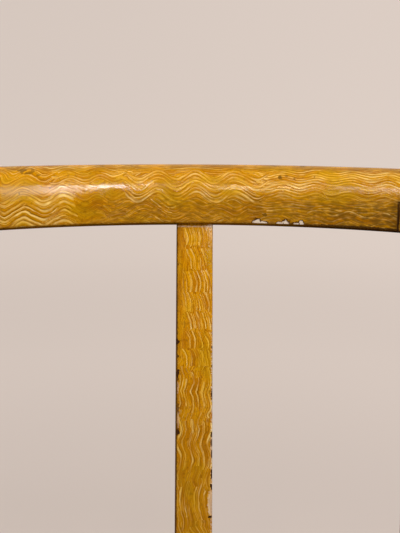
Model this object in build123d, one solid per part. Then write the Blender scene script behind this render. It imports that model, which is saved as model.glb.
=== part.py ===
from build123d import *
import os
from math import asin, cos, degrees, radians, sin, sqrt, tan

# A painted side chair: round bent posts, turned front legs and rungs, a bowed crest rail over one
# flat upright slat, and a woven rush seat on four hidden rails.
# Millimetres. The origin is on the floor under the middle of the chair, and the front faces -Y,
# so +X is on the right of someone who stands in front of it. Each left part is the right one mirrored.

# ---------------------------------------------------------------- whole chair
SEAT_HEIGHT = 440
FIT = 0.08                   # play all round a peg or a round tenon
GAP = 0.15                   # play at a shoulder or round a square tenon

# ---------------------------------------------------------------- crest rail
CREST_BOTTOM_Z = 799         # middle of the rail's underside; its top stands at 850
CREST_SLANT = 52             # height of its section, along the section's lean
CREST_RADIUS = 348           # of the bow, to the middle of the underside
CREST_LEAN = 13              # degrees that its section leans back
CREST_FOOT = 22              # depth of the flat underside
CREST_FRONT_BULGE = 15.5     # the section's furthest points from its middle line
CREST_BACK_BULGE = 12.5
CREST_HALF_ANGLE = 33.9      # degrees of bow each side of the middle
CREST_END_ROUND = 2.5
NOTCH_X = 164.3              # the post heads are let into the rail's lower half outside this
NOTCH_TOP_Z = CREST_BOTTOM_Z + 25.5
HEAD_GAP = 0.35              # the open line between rail and post head

# ---------------------------------------------------------------- rear posts
POST_Y = 132.6               # depth of the centre line at the bend
POST_TOP_X = 179.5           # centre line at the crest rail
POST_SPLAY = 1.7             # degrees that the posts spread towards the floor
POST_RAKE = 2                # degrees that the leg below the bend kicks back
POST_LEAN = 12.5             # degrees that the post leans back under the crest rail
BEND_Z = 470                 # where the post starts to curve back
BEND_SECTIONS = 7
POST_FOOT_RADIUS = 13.5
POST_SEAT_RADIUS = 17
POST_BEND_RADIUS = 16.5
POST_TOP_RADIUS = 10.5
POST_TAPER = 1.6             # above 1, the post thins soonest just over the bend
POST_TENON_RADIUS = 6
POST_TENON_LENGTH = 16

# ---------------------------------------------------------------- back slat and stay rail
SLAT_WIDTH = 31.4
SLAT_THICKNESS = 11
SLAT_LEAN = 15.7             # degrees
SLAT_ARRIS = 0.8
SLAT_TENON_WIDTH = 24
SLAT_TENON_THICKNESS = 8
SLAT_TENON_UP = 18
SLAT_TENON_DOWN = 14
STAY_Z = 512
STAY_HEIGHT = 32
STAY_THICKNESS = 17
STAY_TENON_HEIGHT = 20
STAY_TENON_THICKNESS = 8
STAY_TENON_LENGTH = 13

# ---------------------------------------------------------------- front legs
FRONT_X = 212                # centre line at the seat rails
FRONT_Y = -211
FRONT_SPLAY = 0.55           # degrees
FRONT_TOP_Z = SEAT_HEIGHT + 7
FRONT_TOP_RADIUS = 19

# ---------------------------------------------------------------- seat
RAIL_Z = 420
RAIL_HEIGHT = 28
RAIL_THICKNESS = 20
RAIL_TENON_RADIUS = 6.3
RAIL_STAGGER = 7             # side rails enter the posts below the middle, the others above it
RAIL_END_GAP = 1             # from the end of the rail's body to the post
CORD = 5                     # thickness of the twisted rush
SEAT_SAG = 7.5               # how much lower the seat is in its middle than over the rails
STUFFING_GAP = 0.1

# ---------------------------------------------------------------- rungs
FRONT_UPPER_Z = 285
FRONT_LOWER_Z = 150
SIDE_UPPER_Z = 310
SIDE_LOWER_Z = 175
BACK_RUNG_Z = 230
RUNG_END_RADIUS = 7.5
RUNG_MIDDLE_RADIUS = 10.5
SOCKET_PAST = 1              # a socket goes this far past the end of what it holds

# ---------------------------------------------------------------- pegs
PEG_RADIUS = 3
STAY_PEG_RADIUS = 2.5
PEG_PROUD = 0.4

UP = Vector(0, 0, 1)
FROM_BASE = (Align.CENTER, Align.CENTER, Align.MIN)


# ---------------------------------------------------------------- where things are
BEND_RADIUS = (CREST_BOTTOM_Z - BEND_Z) / (sin(radians(POST_LEAN)) + sin(radians(POST_RAKE)))


def post_angle(z):
    """Lean of the rear post's centre line at height z, in radians, back from upright."""
    if z <= BEND_Z:
        return -radians(POST_RAKE)
    return asin((z - BEND_Z) / BEND_RADIUS - sin(radians(POST_RAKE)))


def post_radius(z):
    """Radius of the rear post above the bend."""
    rise = (z - BEND_Z) / (CREST_BOTTOM_Z - BEND_Z)
    return POST_TOP_RADIUS + (POST_BEND_RADIUS - POST_TOP_RADIUS) * (1 - rise) ** POST_TAPER


def post_back(z):
    """How far behind the bend the post's centre line is at height z."""
    if z <= BEND_Z:
        return (BEND_Z - z) * tan(radians(POST_RAKE))
    return BEND_RADIUS * (cos(radians(POST_RAKE)) - cos(post_angle(z)))


def rear_point(z):
    """A point on the right rear post's centre line."""
    return Vector(POST_TOP_X + (CREST_BOTTOM_Z - z) * tan(radians(POST_SPLAY)), POST_Y + post_back(z), z)


def front_point(z):
    """A point on the right front leg's centre line."""
    return Vector(FRONT_X + (RAIL_Z - z) * tan(radians(FRONT_SPLAY)), FRONT_Y, z)


def left(point):
    """The same point on the left of the chair."""
    return Vector(-point.X, point.Y, point.Z)


CREST_AXIS_Y = rear_point(CREST_BOTTOM_Z).Y - sqrt(CREST_RADIUS**2 - POST_TOP_X**2)
SLAT_TOP = Vector(0, CREST_AXIS_Y + CREST_RADIUS, CREST_BOTTOM_Z)


def slat_y(z):
    """Depth of the slat's middle at height z."""
    return SLAT_TOP.Y - (SLAT_TOP.Z - z) * tan(radians(SLAT_LEAN))


STAY_Y = slat_y(STAY_Z + STAY_HEIGHT / 4)


# ---------------------------------------------------------------- shared shapes
def turned(outline):
    """A lathe-turned solid from a half outline in (radius, height), closed on the axis."""
    return revolve(Plane.XZ * make_face(outline), Axis.Z)


def round_bar(start, end, radius, past=0):
    """A plain round bar from start to end, run on by a distance at the start."""
    frame = Plane(origin=start, z_dir=end - start)
    length = (end - start).length
    return frame * Pos(0, 0, -past) * Cylinder(radius, length + past, align=FROM_BASE)


def socket(centre, towards, radius, depth=60):
    """The hole in a leg for a round end: from just past the centre line out through the side."""
    direction = (towards - centre).normalized()
    return round_bar(centre, centre + direction * depth, radius + FIT, past=SOCKET_PAST)


def level_frame(start, end):
    """A frame along a level rail: its z runs along the rail and its y is up."""
    return Plane(origin=start, x_dir=UP.cross(end - start), z_dir=end - start)


def above_floor(part):
    """Cut a leg off flat at the floor."""
    return part - Pos(0, 0, -50) * Box(1000, 1000, 100)


def mirrored(part):
    return mirror(part, about=Plane.YZ)


# ---------------------------------------------------------------- crest rail
def crest_blank():
    """The whole bowed rail before its joints are cut: one section turned about an upright axis."""
    lean = radians(CREST_LEAN)

    def at(back, up):
        return (
            CREST_RADIUS + back * cos(lean) + up * sin(lean),
            CREST_BOTTOM_Z + up * cos(lean) - back * sin(lean),
        )

    front_foot = at(-CREST_FOOT / 2, 0)
    back_foot = at(CREST_FOOT / 2, 0)
    round_over = Spline(
        front_foot,
        at(-CREST_FRONT_BULGE, 0.42 * CREST_SLANT),
        at(-0.7 * CREST_FRONT_BULGE, 0.84 * CREST_SLANT),
        at(-1, CREST_SLANT),
        at(0.7 * CREST_BACK_BULGE, 0.84 * CREST_SLANT),
        at(CREST_BACK_BULGE, 0.42 * CREST_SLANT),
        back_foot,
    )
    section = Plane.XZ * make_face(Line(back_foot, front_foot) + round_over)
    bow = revolve(section, Axis.Z, revolution_arc=2 * CREST_HALF_ANGLE)
    ends = bow.faces().filter_by(GeomType.PLANE)
    bow = fillet(ends.edges(), CREST_END_ROUND)
    return Pos(0, CREST_AXIS_Y, 0) * Rot(0, 0, 90 - CREST_HALF_ANGLE) * bow


def notch(gap=0):
    """The right post head's place in the lower half of the rail, less a gap."""
    low = CREST_BOTTOM_Z - 20
    inner = NOTCH_X + gap
    top = NOTCH_TOP_Z - gap
    return Pos(inner, CREST_AXIS_Y, low) * Box(
        100, 1000, top - low, align=(Align.MIN, Align.CENTER, Align.MIN)
    )


def post_head_frame():
    """The frame at the top of the right rear post, its z along the post's last tangent."""
    splay = Pos(POST_TOP_X, 0, CREST_BOTTOM_Z) * Rot(0, -POST_SPLAY, 0)
    lean = Pos(0, rear_point(CREST_BOTTOM_Z).Y, 0) * Rot(-POST_LEAN, 0, 0)
    return splay * lean


def post_tenon(radius, length):
    """The round tenon on the post head, or with more radius and length the hole for it."""
    head_height = (NOTCH_TOP_Z - CREST_BOTTOM_Z) / cos(radians(POST_LEAN))
    return post_head_frame() * Cylinder(radius, head_height + length, align=FROM_BASE)


def radial_peg(angle, z, outer, length, radius):
    """A peg driven level into the back of the bowed rail, at an angle from the chair's middle."""
    frame = Pos(0, CREST_AXIS_Y, z) * Rot(0, 0, -angle) * Pos(0, outer, 0) * Rot(90, 0, 0)
    peg = Cylinder(radius, length, align=FROM_BASE)
    return frame * peg


def crest_section_back(z):
    """Distance from the bow's axis to the rail's back face at height z, near its middle height."""
    return CREST_RADIUS + CREST_BACK_BULGE + (z - CREST_BOTTOM_Z) * tan(radians(CREST_LEAN))


CREST_PEG_Z = NOTCH_TOP_Z + 8
CREST_PEG_LENGTH = 20
SLAT_PEG_Z = CREST_BOTTOM_Z + 9
SLAT_PEG_LENGTH = 18
POST_TOP_ANGLE = degrees(asin(POST_TOP_X / CREST_RADIUS))


def crest_peg(play=0):
    """The peg that holds the right post's tenon in the crest rail."""
    outer = crest_section_back(CREST_PEG_Z) - 1.5
    angle = POST_TOP_ANGLE - 0.6
    peg = radial_peg(angle, CREST_PEG_Z, outer, CREST_PEG_LENGTH + play, PEG_RADIUS + play)
    if play:
        return peg
    return soften_head(peg)


def soften_head(peg):
    """Round the edge of the peg's showing end, which is the one furthest back."""
    return fillet(peg.faces().filter_by(GeomType.PLANE).sort_by(Axis.Y)[-1].edges(), PEG_PROUD)


def slat_top_peg(play=0):
    """The peg through the crest rail's back into the top tenon of the slat."""
    outer = crest_section_back(SLAT_PEG_Z)
    peg = radial_peg(0, SLAT_PEG_Z, outer, SLAT_PEG_LENGTH + play, PEG_RADIUS + play)
    if play:
        return peg
    return soften_head(peg)


def crest_rail():
    rail = crest_blank()
    post_holes = post_tenon(POST_TENON_RADIUS + FIT, POST_TENON_LENGTH + SOCKET_PAST)
    joints = notch() + post_holes + crest_peg(FIT)
    rail -= joints
    rail -= mirrored(joints)
    rail -= slat_tenon_top(GAP)
    rail -= slat_top_peg(FIT)
    return rail


# ---------------------------------------------------------------- rear posts
def post_bend(extra=0):
    """The curved upper part of the post, upright in the chair's middle plane."""
    rings = []
    for step in range(BEND_SECTIONS):
        z = BEND_Z + (CREST_BOTTOM_Z - BEND_Z) * step / (BEND_SECTIONS - 1)
        angle = post_angle(z) if step else -radians(POST_RAKE)
        frame = Plane(
            origin=(0, POST_Y + post_back(z), z), x_dir=(1, 0, 0), z_dir=(0, sin(angle), cos(angle))
        )
        rings.append(frame * Circle(post_radius(z) + extra))
    return loft(rings)


def post_leg():
    """The straight leg below the bend, turned with a slow swell to the seat."""
    length = (BEND_Z + 10) / cos(radians(POST_RAKE))
    swell = Spline(
        (POST_FOOT_RADIUS, 0),
        (0.92 * POST_SEAT_RADIUS, 0.36 * length),
        (POST_SEAT_RADIUS, 0.9 * length),
        (POST_BEND_RADIUS, length),
        tangents=[(0.012, 1), (-0.016, 1)],
    )
    outline = Line((0, 0), (POST_FOOT_RADIUS, 0)) + swell
    outline += Line((POST_BEND_RADIUS, length), (0, length)) + Line((0, length), (0, 0))
    top = Pos(0, POST_Y, BEND_Z) * Rot(POST_RAKE, 0, 0)
    return top * Pos(0, 0, -length) * turned(outline)


def splayed(part):
    """Carry a post built in the chair's middle plane out to the right side."""
    return (
        Pos(POST_TOP_X, 0, CREST_BOTTOM_Z) * Rot(0, -POST_SPLAY, 0) * Pos(0, 0, -CREST_BOTTOM_Z) * part
    )


def stay_peg(play=0):
    """The peg from the back of the right post through the stay rail's tenon."""
    post = rear_point(STAY_Z)
    inset = post_radius(STAY_Z) - STAY_TENON_LENGTH / 2
    surface = sqrt(post_radius(STAY_Z) ** 2 - inset**2)
    start = Vector(post.X - inset, post.Y + surface + PEG_PROUD, STAY_Z)
    length = surface + STAY_THICKNESS / 2
    peg = round_bar(start, start - Vector(0, length + play, 0), STAY_PEG_RADIUS + play)
    if play:
        return peg
    return soften_head(peg)


def rear_post():
    """The right rear post: leg, bend, head let into the crest rail, and the tenon on it."""
    post = splayed(post_leg() + post_bend())
    post += post_head_frame() * Cylinder(POST_TOP_RADIUS, 12, align=FROM_BASE)
    post += crest_blank() & notch(HEAD_GAP)
    post += post_tenon(POST_TENON_RADIUS, POST_TENON_LENGTH)
    post -= crest_peg(FIT)
    post -= stay_tenon(GAP) + stay_peg(FIT)
    across = rear_point(BACK_RUNG_Z)
    post -= socket(across, left(across), RUNG_END_RADIUS)
    for z in (SIDE_UPPER_Z, SIDE_LOWER_Z):
        post -= socket(rear_point(z), front_point(z), RUNG_END_RADIUS)
    post -= rail_sockets(rear_point(RAIL_Z), front_point(RAIL_Z))
    return above_floor(post)


# ---------------------------------------------------------------- back slat
def slat_frame():
    """The frame at the top of the slat, its z up along the slat and its y back."""
    lean = radians(SLAT_LEAN)
    return Plane(origin=SLAT_TOP, x_dir=(1, 0, 0), z_dir=(0, sin(lean), cos(lean)))


def slat_tenon_top(play=0):
    block = Box(SLAT_TENON_WIDTH + 2 * play, SLAT_TENON_THICKNESS + 2 * play, 2 * SLAT_TENON_UP + 2 * play)
    return slat_frame() * block


def slat_tenon_bottom(play=0):
    stay_top = (SLAT_TOP.Z - STAY_Z - STAY_HEIGHT / 2) / cos(radians(SLAT_LEAN))
    length = 2 * SLAT_TENON_DOWN + 2 * play
    block = Box(SLAT_TENON_WIDTH + 2 * play, SLAT_TENON_THICKNESS + 2 * play, length)
    return slat_frame() * Pos(0, 0, -stay_top) * block


def slat_bottom_peg(play=0):
    """The peg from the back of the stay rail into the slat's lower tenon."""
    z = STAY_Z + STAY_HEIGHT / 2 - SLAT_TENON_DOWN / 2
    start = Vector(0, STAY_Y + STAY_THICKNESS / 2 + PEG_PROUD, z)
    peg = round_bar(start, start - Vector(0, 0.7 * STAY_THICKNESS + play, 0), PEG_RADIUS + play)
    if play:
        return peg
    return soften_head(peg)


def back_slat():
    """The flat upright slat, its shoulders fitted to the crest rail above and the stay rail below."""
    length = (SLAT_TOP.Z - STAY_Z) / cos(radians(SLAT_LEAN)) + 20
    board = Box(SLAT_WIDTH, SLAT_THICKNESS, length)
    board = chamfer(board.edges().filter_by(Axis.Z), SLAT_ARRIS)
    slat = slat_frame() * Pos(0, 0, 20 - length / 2) * board
    slat -= Pos(0, 0, -GAP) * crest_blank()
    slat -= Pos(0, 0, CREST_BOTTOM_Z + 60) * Box(100, 1000, 100)
    slat -= Pos(0, 0, GAP) * stay_blank()
    slat = slat.solids().sort_by(SortBy.VOLUME)[-1]
    slat = slat + slat_tenon_top() + slat_tenon_bottom()
    slat -= slat_top_peg(FIT)
    slat -= slat_bottom_peg(FIT)
    return slat


# ---------------------------------------------------------------- stay rail
def stay_blank():
    """The rail under the slat, between the posts' centre lines: a flat oval bar."""
    reach = rear_point(STAY_Z)
    start = Vector(-reach.X, STAY_Y, STAY_Z)
    oval = RectangleRounded(STAY_THICKNESS, STAY_HEIGHT, 0.42 * STAY_THICKNESS)
    return level_frame(start, start + Vector(1, 0, 0)) * extrude(oval, 2 * reach.X)


def stay_tenon(play=0):
    """The right end tenon of the stay rail."""
    end = rear_point(STAY_Z).X - post_radius(STAY_Z) + STAY_TENON_LENGTH + play
    block = Box(
        2 * STAY_TENON_LENGTH + play,
        STAY_TENON_THICKNESS + 2 * play,
        STAY_TENON_HEIGHT + 2 * play,
        align=(Align.MAX, Align.CENTER, Align.CENTER),
    )
    return Pos(end, STAY_Y, STAY_Z) * block


def stay_rail():
    post = splayed(post_bend(GAP))
    rail = stay_blank() - post - mirrored(post)
    rail = rail.solids().sort_by(SortBy.VOLUME)[-1]
    rail = rail + stay_tenon() + mirrored(stay_tenon())
    rail -= stay_peg(FIT) + mirrored(stay_peg(FIT))
    rail -= slat_tenon_bottom(GAP)
    rail -= slat_bottom_peg(FIT)
    return rail


# ---------------------------------------------------------------- front legs
def front_leg_outline():
    """Half outline of the front leg: ball foot, ankle, bead, long taper, bead, cove and plain top."""
    foot, ball, ankle = 10.5, 14.5, 10.8
    bead_low, bead_high = 345, 355
    shaft_low, shaft_high, cove = 11.8, 17.3, 15.4
    top, dome = FRONT_TOP_RADIUS, 8
    dome_radius = (top**2 + dome**2) / (2 * dome)
    dome_middle = FRONT_TOP_Z - dome_radius + sqrt(dome_radius**2 - top**2 / 4)
    outline = Line((0, -2), (foot, -2)) + Line((foot, -2), (foot, 2))
    outline += ThreePointArc((foot, 2), (ball, 13), (ankle, 27))
    outline += ThreePointArc((ankle, 27), (ankle + 3, 31), (ankle, 35))
    outline += Line((ankle, 35), (shaft_low, 38))
    outline += Spline((shaft_low, 38), (15.6, 170), (shaft_high, bead_low))
    outline += ThreePointArc((shaft_high, bead_low), (shaft_high + 4, 350), (shaft_high, bead_high))
    outline += ThreePointArc((shaft_high, bead_high), (cove, 364), (shaft_high, 373))
    outline += Line((shaft_high, 373), (top, 375)) + Line((top, 375), (top, FRONT_TOP_Z - dome))
    outline += ThreePointArc((top, FRONT_TOP_Z - dome), (top / 2, dome_middle), (0, FRONT_TOP_Z))
    return outline + Line((0, FRONT_TOP_Z), (0, -2))


def front_leg():
    """The right front leg, turned, splayed and bored for its rails and rungs."""
    leg = Pos(FRONT_X, FRONT_Y, RAIL_Z) * Rot(0, -FRONT_SPLAY, 0) * Pos(0, 0, -RAIL_Z)
    leg = leg * turned(front_leg_outline())
    for z in (FRONT_UPPER_Z, FRONT_LOWER_Z):
        leg -= socket(front_point(z), left(front_point(z)), RUNG_END_RADIUS)
    for z in (SIDE_UPPER_Z, SIDE_LOWER_Z):
        leg -= socket(front_point(z), rear_point(z), RUNG_END_RADIUS)
    leg -= rail_sockets(front_point(RAIL_Z), rear_point(RAIL_Z))
    return above_floor(leg)


# ---------------------------------------------------------------- rungs
def plain_rung(start, end):
    """A rung between two centre lines, parallel in its sockets and thickest in the middle."""
    length = (end - start).length
    seat, end_radius = 22, RUNG_END_RADIUS
    outline = Line((0, 0), (end_radius, 0)) + Line((end_radius, 0), (end_radius, seat))
    outline += Spline(
        (end_radius, seat),
        (RUNG_MIDDLE_RADIUS, length / 2),
        (end_radius, length - seat),
        tangents=[(0.035, 1), (-0.035, 1)],
    )
    outline += Line((end_radius, length - seat), (end_radius, length))
    outline += Line((end_radius, length), (0, length)) + Line((0, length), (0, 0))
    return Plane(origin=start, z_dir=end - start) * turned(outline)


def fancy_rung(start, end):
    """The upper front rung: two long swells with a bead at each inner end and a ball between them."""
    half = (end - start).length / 2
    seat, end_radius = 22, RUNG_END_RADIUS
    swell, neck, bead, ball = 12.5, 8.6, 12, 15
    outline = Line((0, -half), (end_radius, -half)) + Line((end_radius, -half), (end_radius, seat - half))
    outline += Spline((end_radius, seat - half), (swell, -95), (neck, -40), tangents=[(0.03, 1), (0, 1)])
    outline += ThreePointArc((neck, -40), (bead, -35), (neck, -30))
    outline += Line((neck, -30), (neck, -20))
    outline += ThreePointArc((neck, -20), (ball, 0), (neck, 20))
    outline += Line((neck, 20), (neck, 30))
    outline += ThreePointArc((neck, 30), (bead, 35), (neck, 40))
    outline += Spline((neck, 40), (swell, 95), (end_radius, half - seat), tangents=[(0, 1), (-0.03, 1)])
    outline += Line((end_radius, half - seat), (end_radius, half)) + Line((end_radius, half), (0, half))
    outline += Line((0, half), (0, -half))
    return Plane(origin=(start + end) / 2, z_dir=end - start) * turned(outline)


# ---------------------------------------------------------------- seat rails
def seat_rail(start, end, start_radius, end_radius, stagger, extra=0):
    """A shaved oval rail between two posts, with a round tenon off its middle at each end."""
    length = (end - start).length
    first = start_radius + RAIL_END_GAP - extra
    last = length - end_radius - RAIL_END_GAP + extra
    reach = 3
    body = extrude(Ellipse(RAIL_THICKNESS / 2 + extra, RAIL_HEIGHT / 2 + extra), last - first)
    tenon = Cylinder(RAIL_TENON_RADIUS + extra, length + 2 * reach, align=FROM_BASE)
    rail = Pos(0, 0, first) * body + Pos(0, stagger, -reach) * tenon
    return level_frame(start, end) * rail


def front_seat_rail(extra=0):
    right = front_point(RAIL_Z)
    return seat_rail(left(right), right, FRONT_TOP_RADIUS, FRONT_TOP_RADIUS, RAIL_STAGGER, extra)


def back_seat_rail(extra=0):
    right = rear_point(RAIL_Z)
    return seat_rail(left(right), right, POST_SEAT_RADIUS, POST_SEAT_RADIUS, RAIL_STAGGER, extra)


def side_seat_rail(extra=0):
    start, end = front_point(RAIL_Z), rear_point(RAIL_Z)
    return seat_rail(start, end, FRONT_TOP_RADIUS, POST_SEAT_RADIUS, -RAIL_STAGGER, extra)


def rail_sockets(post, neighbour):
    """The two holes in a right-hand post for the tenons of the rails that meet in it."""
    across = post + Vector(0, 0, RAIL_STAGGER)
    along = post - Vector(0, 0, RAIL_STAGGER)
    depth, reach = 60, 3
    holes = []
    for centre, towards in ((across, left(across)), (along, neighbour - Vector(0, 0, RAIL_STAGGER))):
        direction = (towards - centre).normalized()
        far = centre + direction * depth
        holes.append(round_bar(centre, far, RAIL_TENON_RADIUS + FIT, past=reach + SOCKET_PAST))
    return holes[0] + holes[1]


# ---------------------------------------------------------------- rush seat
SEAT_CORNERS = [left(front_point(RAIL_Z)), front_point(RAIL_Z), rear_point(RAIL_Z), left(rear_point(RAIL_Z))]
SEAT_MIDDLE_DEPTH = (rear_point(RAIL_Z).Y - FRONT_Y) / 2


def seat_seam_ends():
    """The two points in the seat's middle where the mitre seams from the corners meet."""
    front, rear = front_point(RAIL_Z), rear_point(RAIL_Z)
    half_corner = radians((rear - front).get_angle(left(front) - front) / 2)
    x = front.X - SEAT_MIDDLE_DEPTH / tan(half_corner)
    y = front.Y + SEAT_MIDDLE_DEPTH
    return Vector(-x, y, RAIL_Z), Vector(x, y, RAIL_Z)


def seat_panel(start, end, inner, section):
    """One of the seat's four panels: a section run along its rail and mitred to its neighbours."""
    overrun = 40
    frame = level_frame(start, end)
    run = frame * Pos(0, 0, -overrun) * extrude(section, (end - start).length + 2 * overrun)
    middle = sum(inner, Vector()) / len(inner)
    corners = [start + (start - inner[0]) * 0.2, end + (end - inner[-1]) * 0.2]
    plan = [Vector(p.X, p.Y, 0) for p in (corners[0], corners[1], *reversed(inner))]
    mitre = extrude(make_face(Polyline(*plan, close=True)), 2 * middle.Z)
    return run & mitre


def seat_panels(section):
    left_seam, right_seam = seat_seam_ends()
    front_left, front_right, rear_right, rear_left = SEAT_CORNERS
    seat = seat_panel(front_left, front_right, [left_seam, right_seam], section)
    seat += seat_panel(front_right, rear_right, [right_seam], section)
    seat += seat_panel(rear_right, rear_left, [right_seam, left_seam], section)
    seat += seat_panel(rear_left, front_left, [left_seam], section)
    return seat


def rush_section():
    """Across one panel: round over the rail, then sloping down to the seat's middle."""
    out = RAIL_THICKNESS / 2 + CORD
    high = SEAT_HEIGHT - RAIL_Z
    low = high - SEAT_SAG
    outline = EllipticalCenterArc((0, 0), out, high, start_angle=90, arc_size=180)
    outline += Line((0, -high), (SEAT_MIDDLE_DEPTH, -low))
    outline += Line((SEAT_MIDDLE_DEPTH, -low), (SEAT_MIDDLE_DEPTH, low))
    return make_face(outline + Line((SEAT_MIDDLE_DEPTH, low), (0, high)))


def stuffing_section(play=0):
    """Across one panel of the stuffing, between the upper and lower layers of rush."""
    first = RAIL_THICKNESS / 2 + 2 + play
    high = SEAT_HEIGHT - RAIL_Z - CORD - 1 - play
    low = high - SEAT_SAG + 1
    far = SEAT_MIDDLE_DEPTH
    return make_face(Polyline((first, -high), (far, -low), (far, low), (first, high), close=True))


def seat_corner_posts(clear):
    """The four posts where they pass the seat, as plain bars with some room round them."""
    front = Pos(FRONT_X, FRONT_Y, RAIL_Z) * Rot(0, -FRONT_SPLAY, 0) * Cylinder(FRONT_TOP_RADIUS + clear, 80)
    top = Pos(0, POST_Y, BEND_Z) * Rot(POST_RAKE, 0, 0)
    right = front + splayed(top * Cylinder(POST_SEAT_RADIUS + clear, 160))
    return right + mirrored(right)


def seat_stuffing():
    """The packed straw between the two layers of rush."""
    return seat_panels(stuffing_section(STUFFING_GAP)) - seat_corner_posts(1.5)


def rush_seat():
    """The woven seat as one body, round its rails and stuffing and let in round the four posts."""
    clear = 0.2
    seat = seat_panels(rush_section()) - seat_panels(stuffing_section())
    side = side_seat_rail(clear)
    seat -= front_seat_rail(clear)
    seat -= back_seat_rail(clear)
    seat -= side
    seat -= mirrored(side)
    seat -= seat_corner_posts(0.3)
    return seat.solids().sort_by(SortBy.VOLUME)[-1]


# ---------------------------------------------------------------- the chair
def build_parts():
    """Every sub-part by its name."""
    post = rear_post()
    leg = front_leg()
    side_upper = plain_rung(front_point(SIDE_UPPER_Z), rear_point(SIDE_UPPER_Z))
    side_lower = plain_rung(front_point(SIDE_LOWER_Z), rear_point(SIDE_LOWER_Z))
    side_rail = side_seat_rail()
    parts = {
        "rear_post_right": post,
        "rear_post_left": mirrored(post),
        "front_leg_right": leg,
        "front_leg_left": mirrored(leg),
        "crest_rail": crest_rail(),
        "back_slat": back_slat(),
        "stay_rail": stay_rail(),
        "seat_rail_front": front_seat_rail(),
        "seat_rail_back": back_seat_rail(),
        "seat_rail_right": side_rail,
        "seat_rail_left": mirrored(side_rail),
        "front_stretcher_upper": fancy_rung(left(front_point(FRONT_UPPER_Z)), front_point(FRONT_UPPER_Z)),
        "front_stretcher_lower": plain_rung(left(front_point(FRONT_LOWER_Z)), front_point(FRONT_LOWER_Z)),
        "side_stretcher_upper_right": side_upper,
        "side_stretcher_upper_left": mirrored(side_upper),
        "side_stretcher_lower_right": side_lower,
        "side_stretcher_lower_left": mirrored(side_lower),
        "back_stretcher": plain_rung(left(rear_point(BACK_RUNG_Z)), rear_point(BACK_RUNG_Z)),
        "rush_seat": rush_seat(),
        "seat_stuffing": seat_stuffing(),
        "crest_pegs": Compound([crest_peg(), mirrored(crest_peg())]),
        "slat_pegs": Compound([slat_top_peg(), slat_bottom_peg()]),
        "stay_rail_pegs": Compound([stay_peg(), mirrored(stay_peg())]),
    }
    return parts


os.makedirs("parts", exist_ok=True)
for name, part in build_parts().items():
    export_step(part, f"parts/{name}.step")
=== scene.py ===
from collections import namedtuple
from functools import partial, reduce
from math import asin, atan2, cos, hypot, pi, radians, sin, sqrt, tan

import bmesh
import bpy
from mathutils import Matrix, Vector


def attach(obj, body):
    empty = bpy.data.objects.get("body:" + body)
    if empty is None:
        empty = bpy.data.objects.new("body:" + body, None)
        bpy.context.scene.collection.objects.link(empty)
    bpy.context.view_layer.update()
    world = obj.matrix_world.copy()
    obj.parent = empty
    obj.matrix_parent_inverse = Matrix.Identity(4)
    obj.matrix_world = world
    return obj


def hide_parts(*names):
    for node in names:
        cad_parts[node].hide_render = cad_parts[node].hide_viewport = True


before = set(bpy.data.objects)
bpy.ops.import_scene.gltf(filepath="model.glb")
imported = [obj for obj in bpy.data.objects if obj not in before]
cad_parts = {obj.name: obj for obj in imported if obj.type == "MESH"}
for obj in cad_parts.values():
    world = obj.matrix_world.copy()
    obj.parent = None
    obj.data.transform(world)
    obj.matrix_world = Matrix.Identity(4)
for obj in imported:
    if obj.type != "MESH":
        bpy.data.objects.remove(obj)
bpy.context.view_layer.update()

bl_info = {
    "name": "Painted Side Chair",
    "version": (1, 0, 0),
    "blender": (4, 5, 0),
    "location": "3D View > Sidebar > Chair",
    "description": "Builds a comb-painted side chair with a rush seat round its packed frame",
    "category": "Object",
}

MM = 0.001
ROOT = "root"                # the chair is one rigid body
UP = Vector((0, 0, 1))

# ------------------------------------------------------------------ sizes shared with the frame
CREST_BOTTOM_Z = 0.799
CREST_RADIUS = 0.348
CREST_LEAN = radians(13)
CREST_SLANT = 0.052
CREST_FOOT = 0.022
CREST_FRONT_BULGE = 0.0155
CREST_BACK_BULGE = 0.0125
CREST_HALF_ANGLE = radians(33.9)
CREST_END_ROUND = 0.0025
NOTCH_X = 0.1643
NOTCH_TOP_Z = CREST_BOTTOM_Z + 0.0255
HEAD_GAP = 0.00035
POST_Y = 0.1326
POST_TOP_X = 0.1795
POST_SPLAY = radians(1.7)
POST_RAKE = radians(2)
POST_LEAN = radians(12.5)
POST_TOP_RADIUS = 0.0105
POST_BEND_RADIUS = 0.0165
POST_SEAT_RADIUS = 0.017
POST_FOOT_RADIUS = 0.0135
POST_TAPER = 1.6
BEND_Z = 0.470
SLAT_LEAN = radians(15.7)
SLAT_WIDTH = 0.0314
SLAT_THICKNESS = 0.011
STAY_Z = 0.512
STAY_HEIGHT = 0.032
STAY_THICKNESS = 0.017
FRONT_X = 0.212
FRONT_Y = -0.211
FRONT_SPLAY = radians(0.55)
FRONT_TOP_RADIUS = 0.019
FRONT_TOP_Z = 0.447
RAIL_Z = 0.420
SEAT_HEIGHT = 0.440
SEAT_SAG = 0.0075
RAIL_THICKNESS = 0.020
CROSS_RUNGS = (("front_stretcher_upper", 0.285), ("front_stretcher_lower", 0.150), ("back_stretcher", 0.230))
SIDE_RUNGS = (("upper", 0.310), ("lower", 0.175))
PEG_RADIUS = 0.003
STAY_PEG_RADIUS = 0.0025
STAY_PEG_X = 0.1792
PEG_PROUD = 0.0004

BEND_RADIUS = (CREST_BOTTOM_Z - BEND_Z) / (sin(POST_LEAN) + sin(POST_RAKE))


def post_angle(z):
    """Backward lean of the rear post's centre line at height z."""
    if z <= BEND_Z:
        return -POST_RAKE
    return asin((z - BEND_Z) / BEND_RADIUS - sin(POST_RAKE))


def post_back(z):
    """How far behind the bend the rear post's centre line is at height z."""
    if z <= BEND_Z:
        return (BEND_Z - z) * tan(POST_RAKE)
    return BEND_RADIUS * (cos(POST_RAKE) - cos(post_angle(z)))


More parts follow.
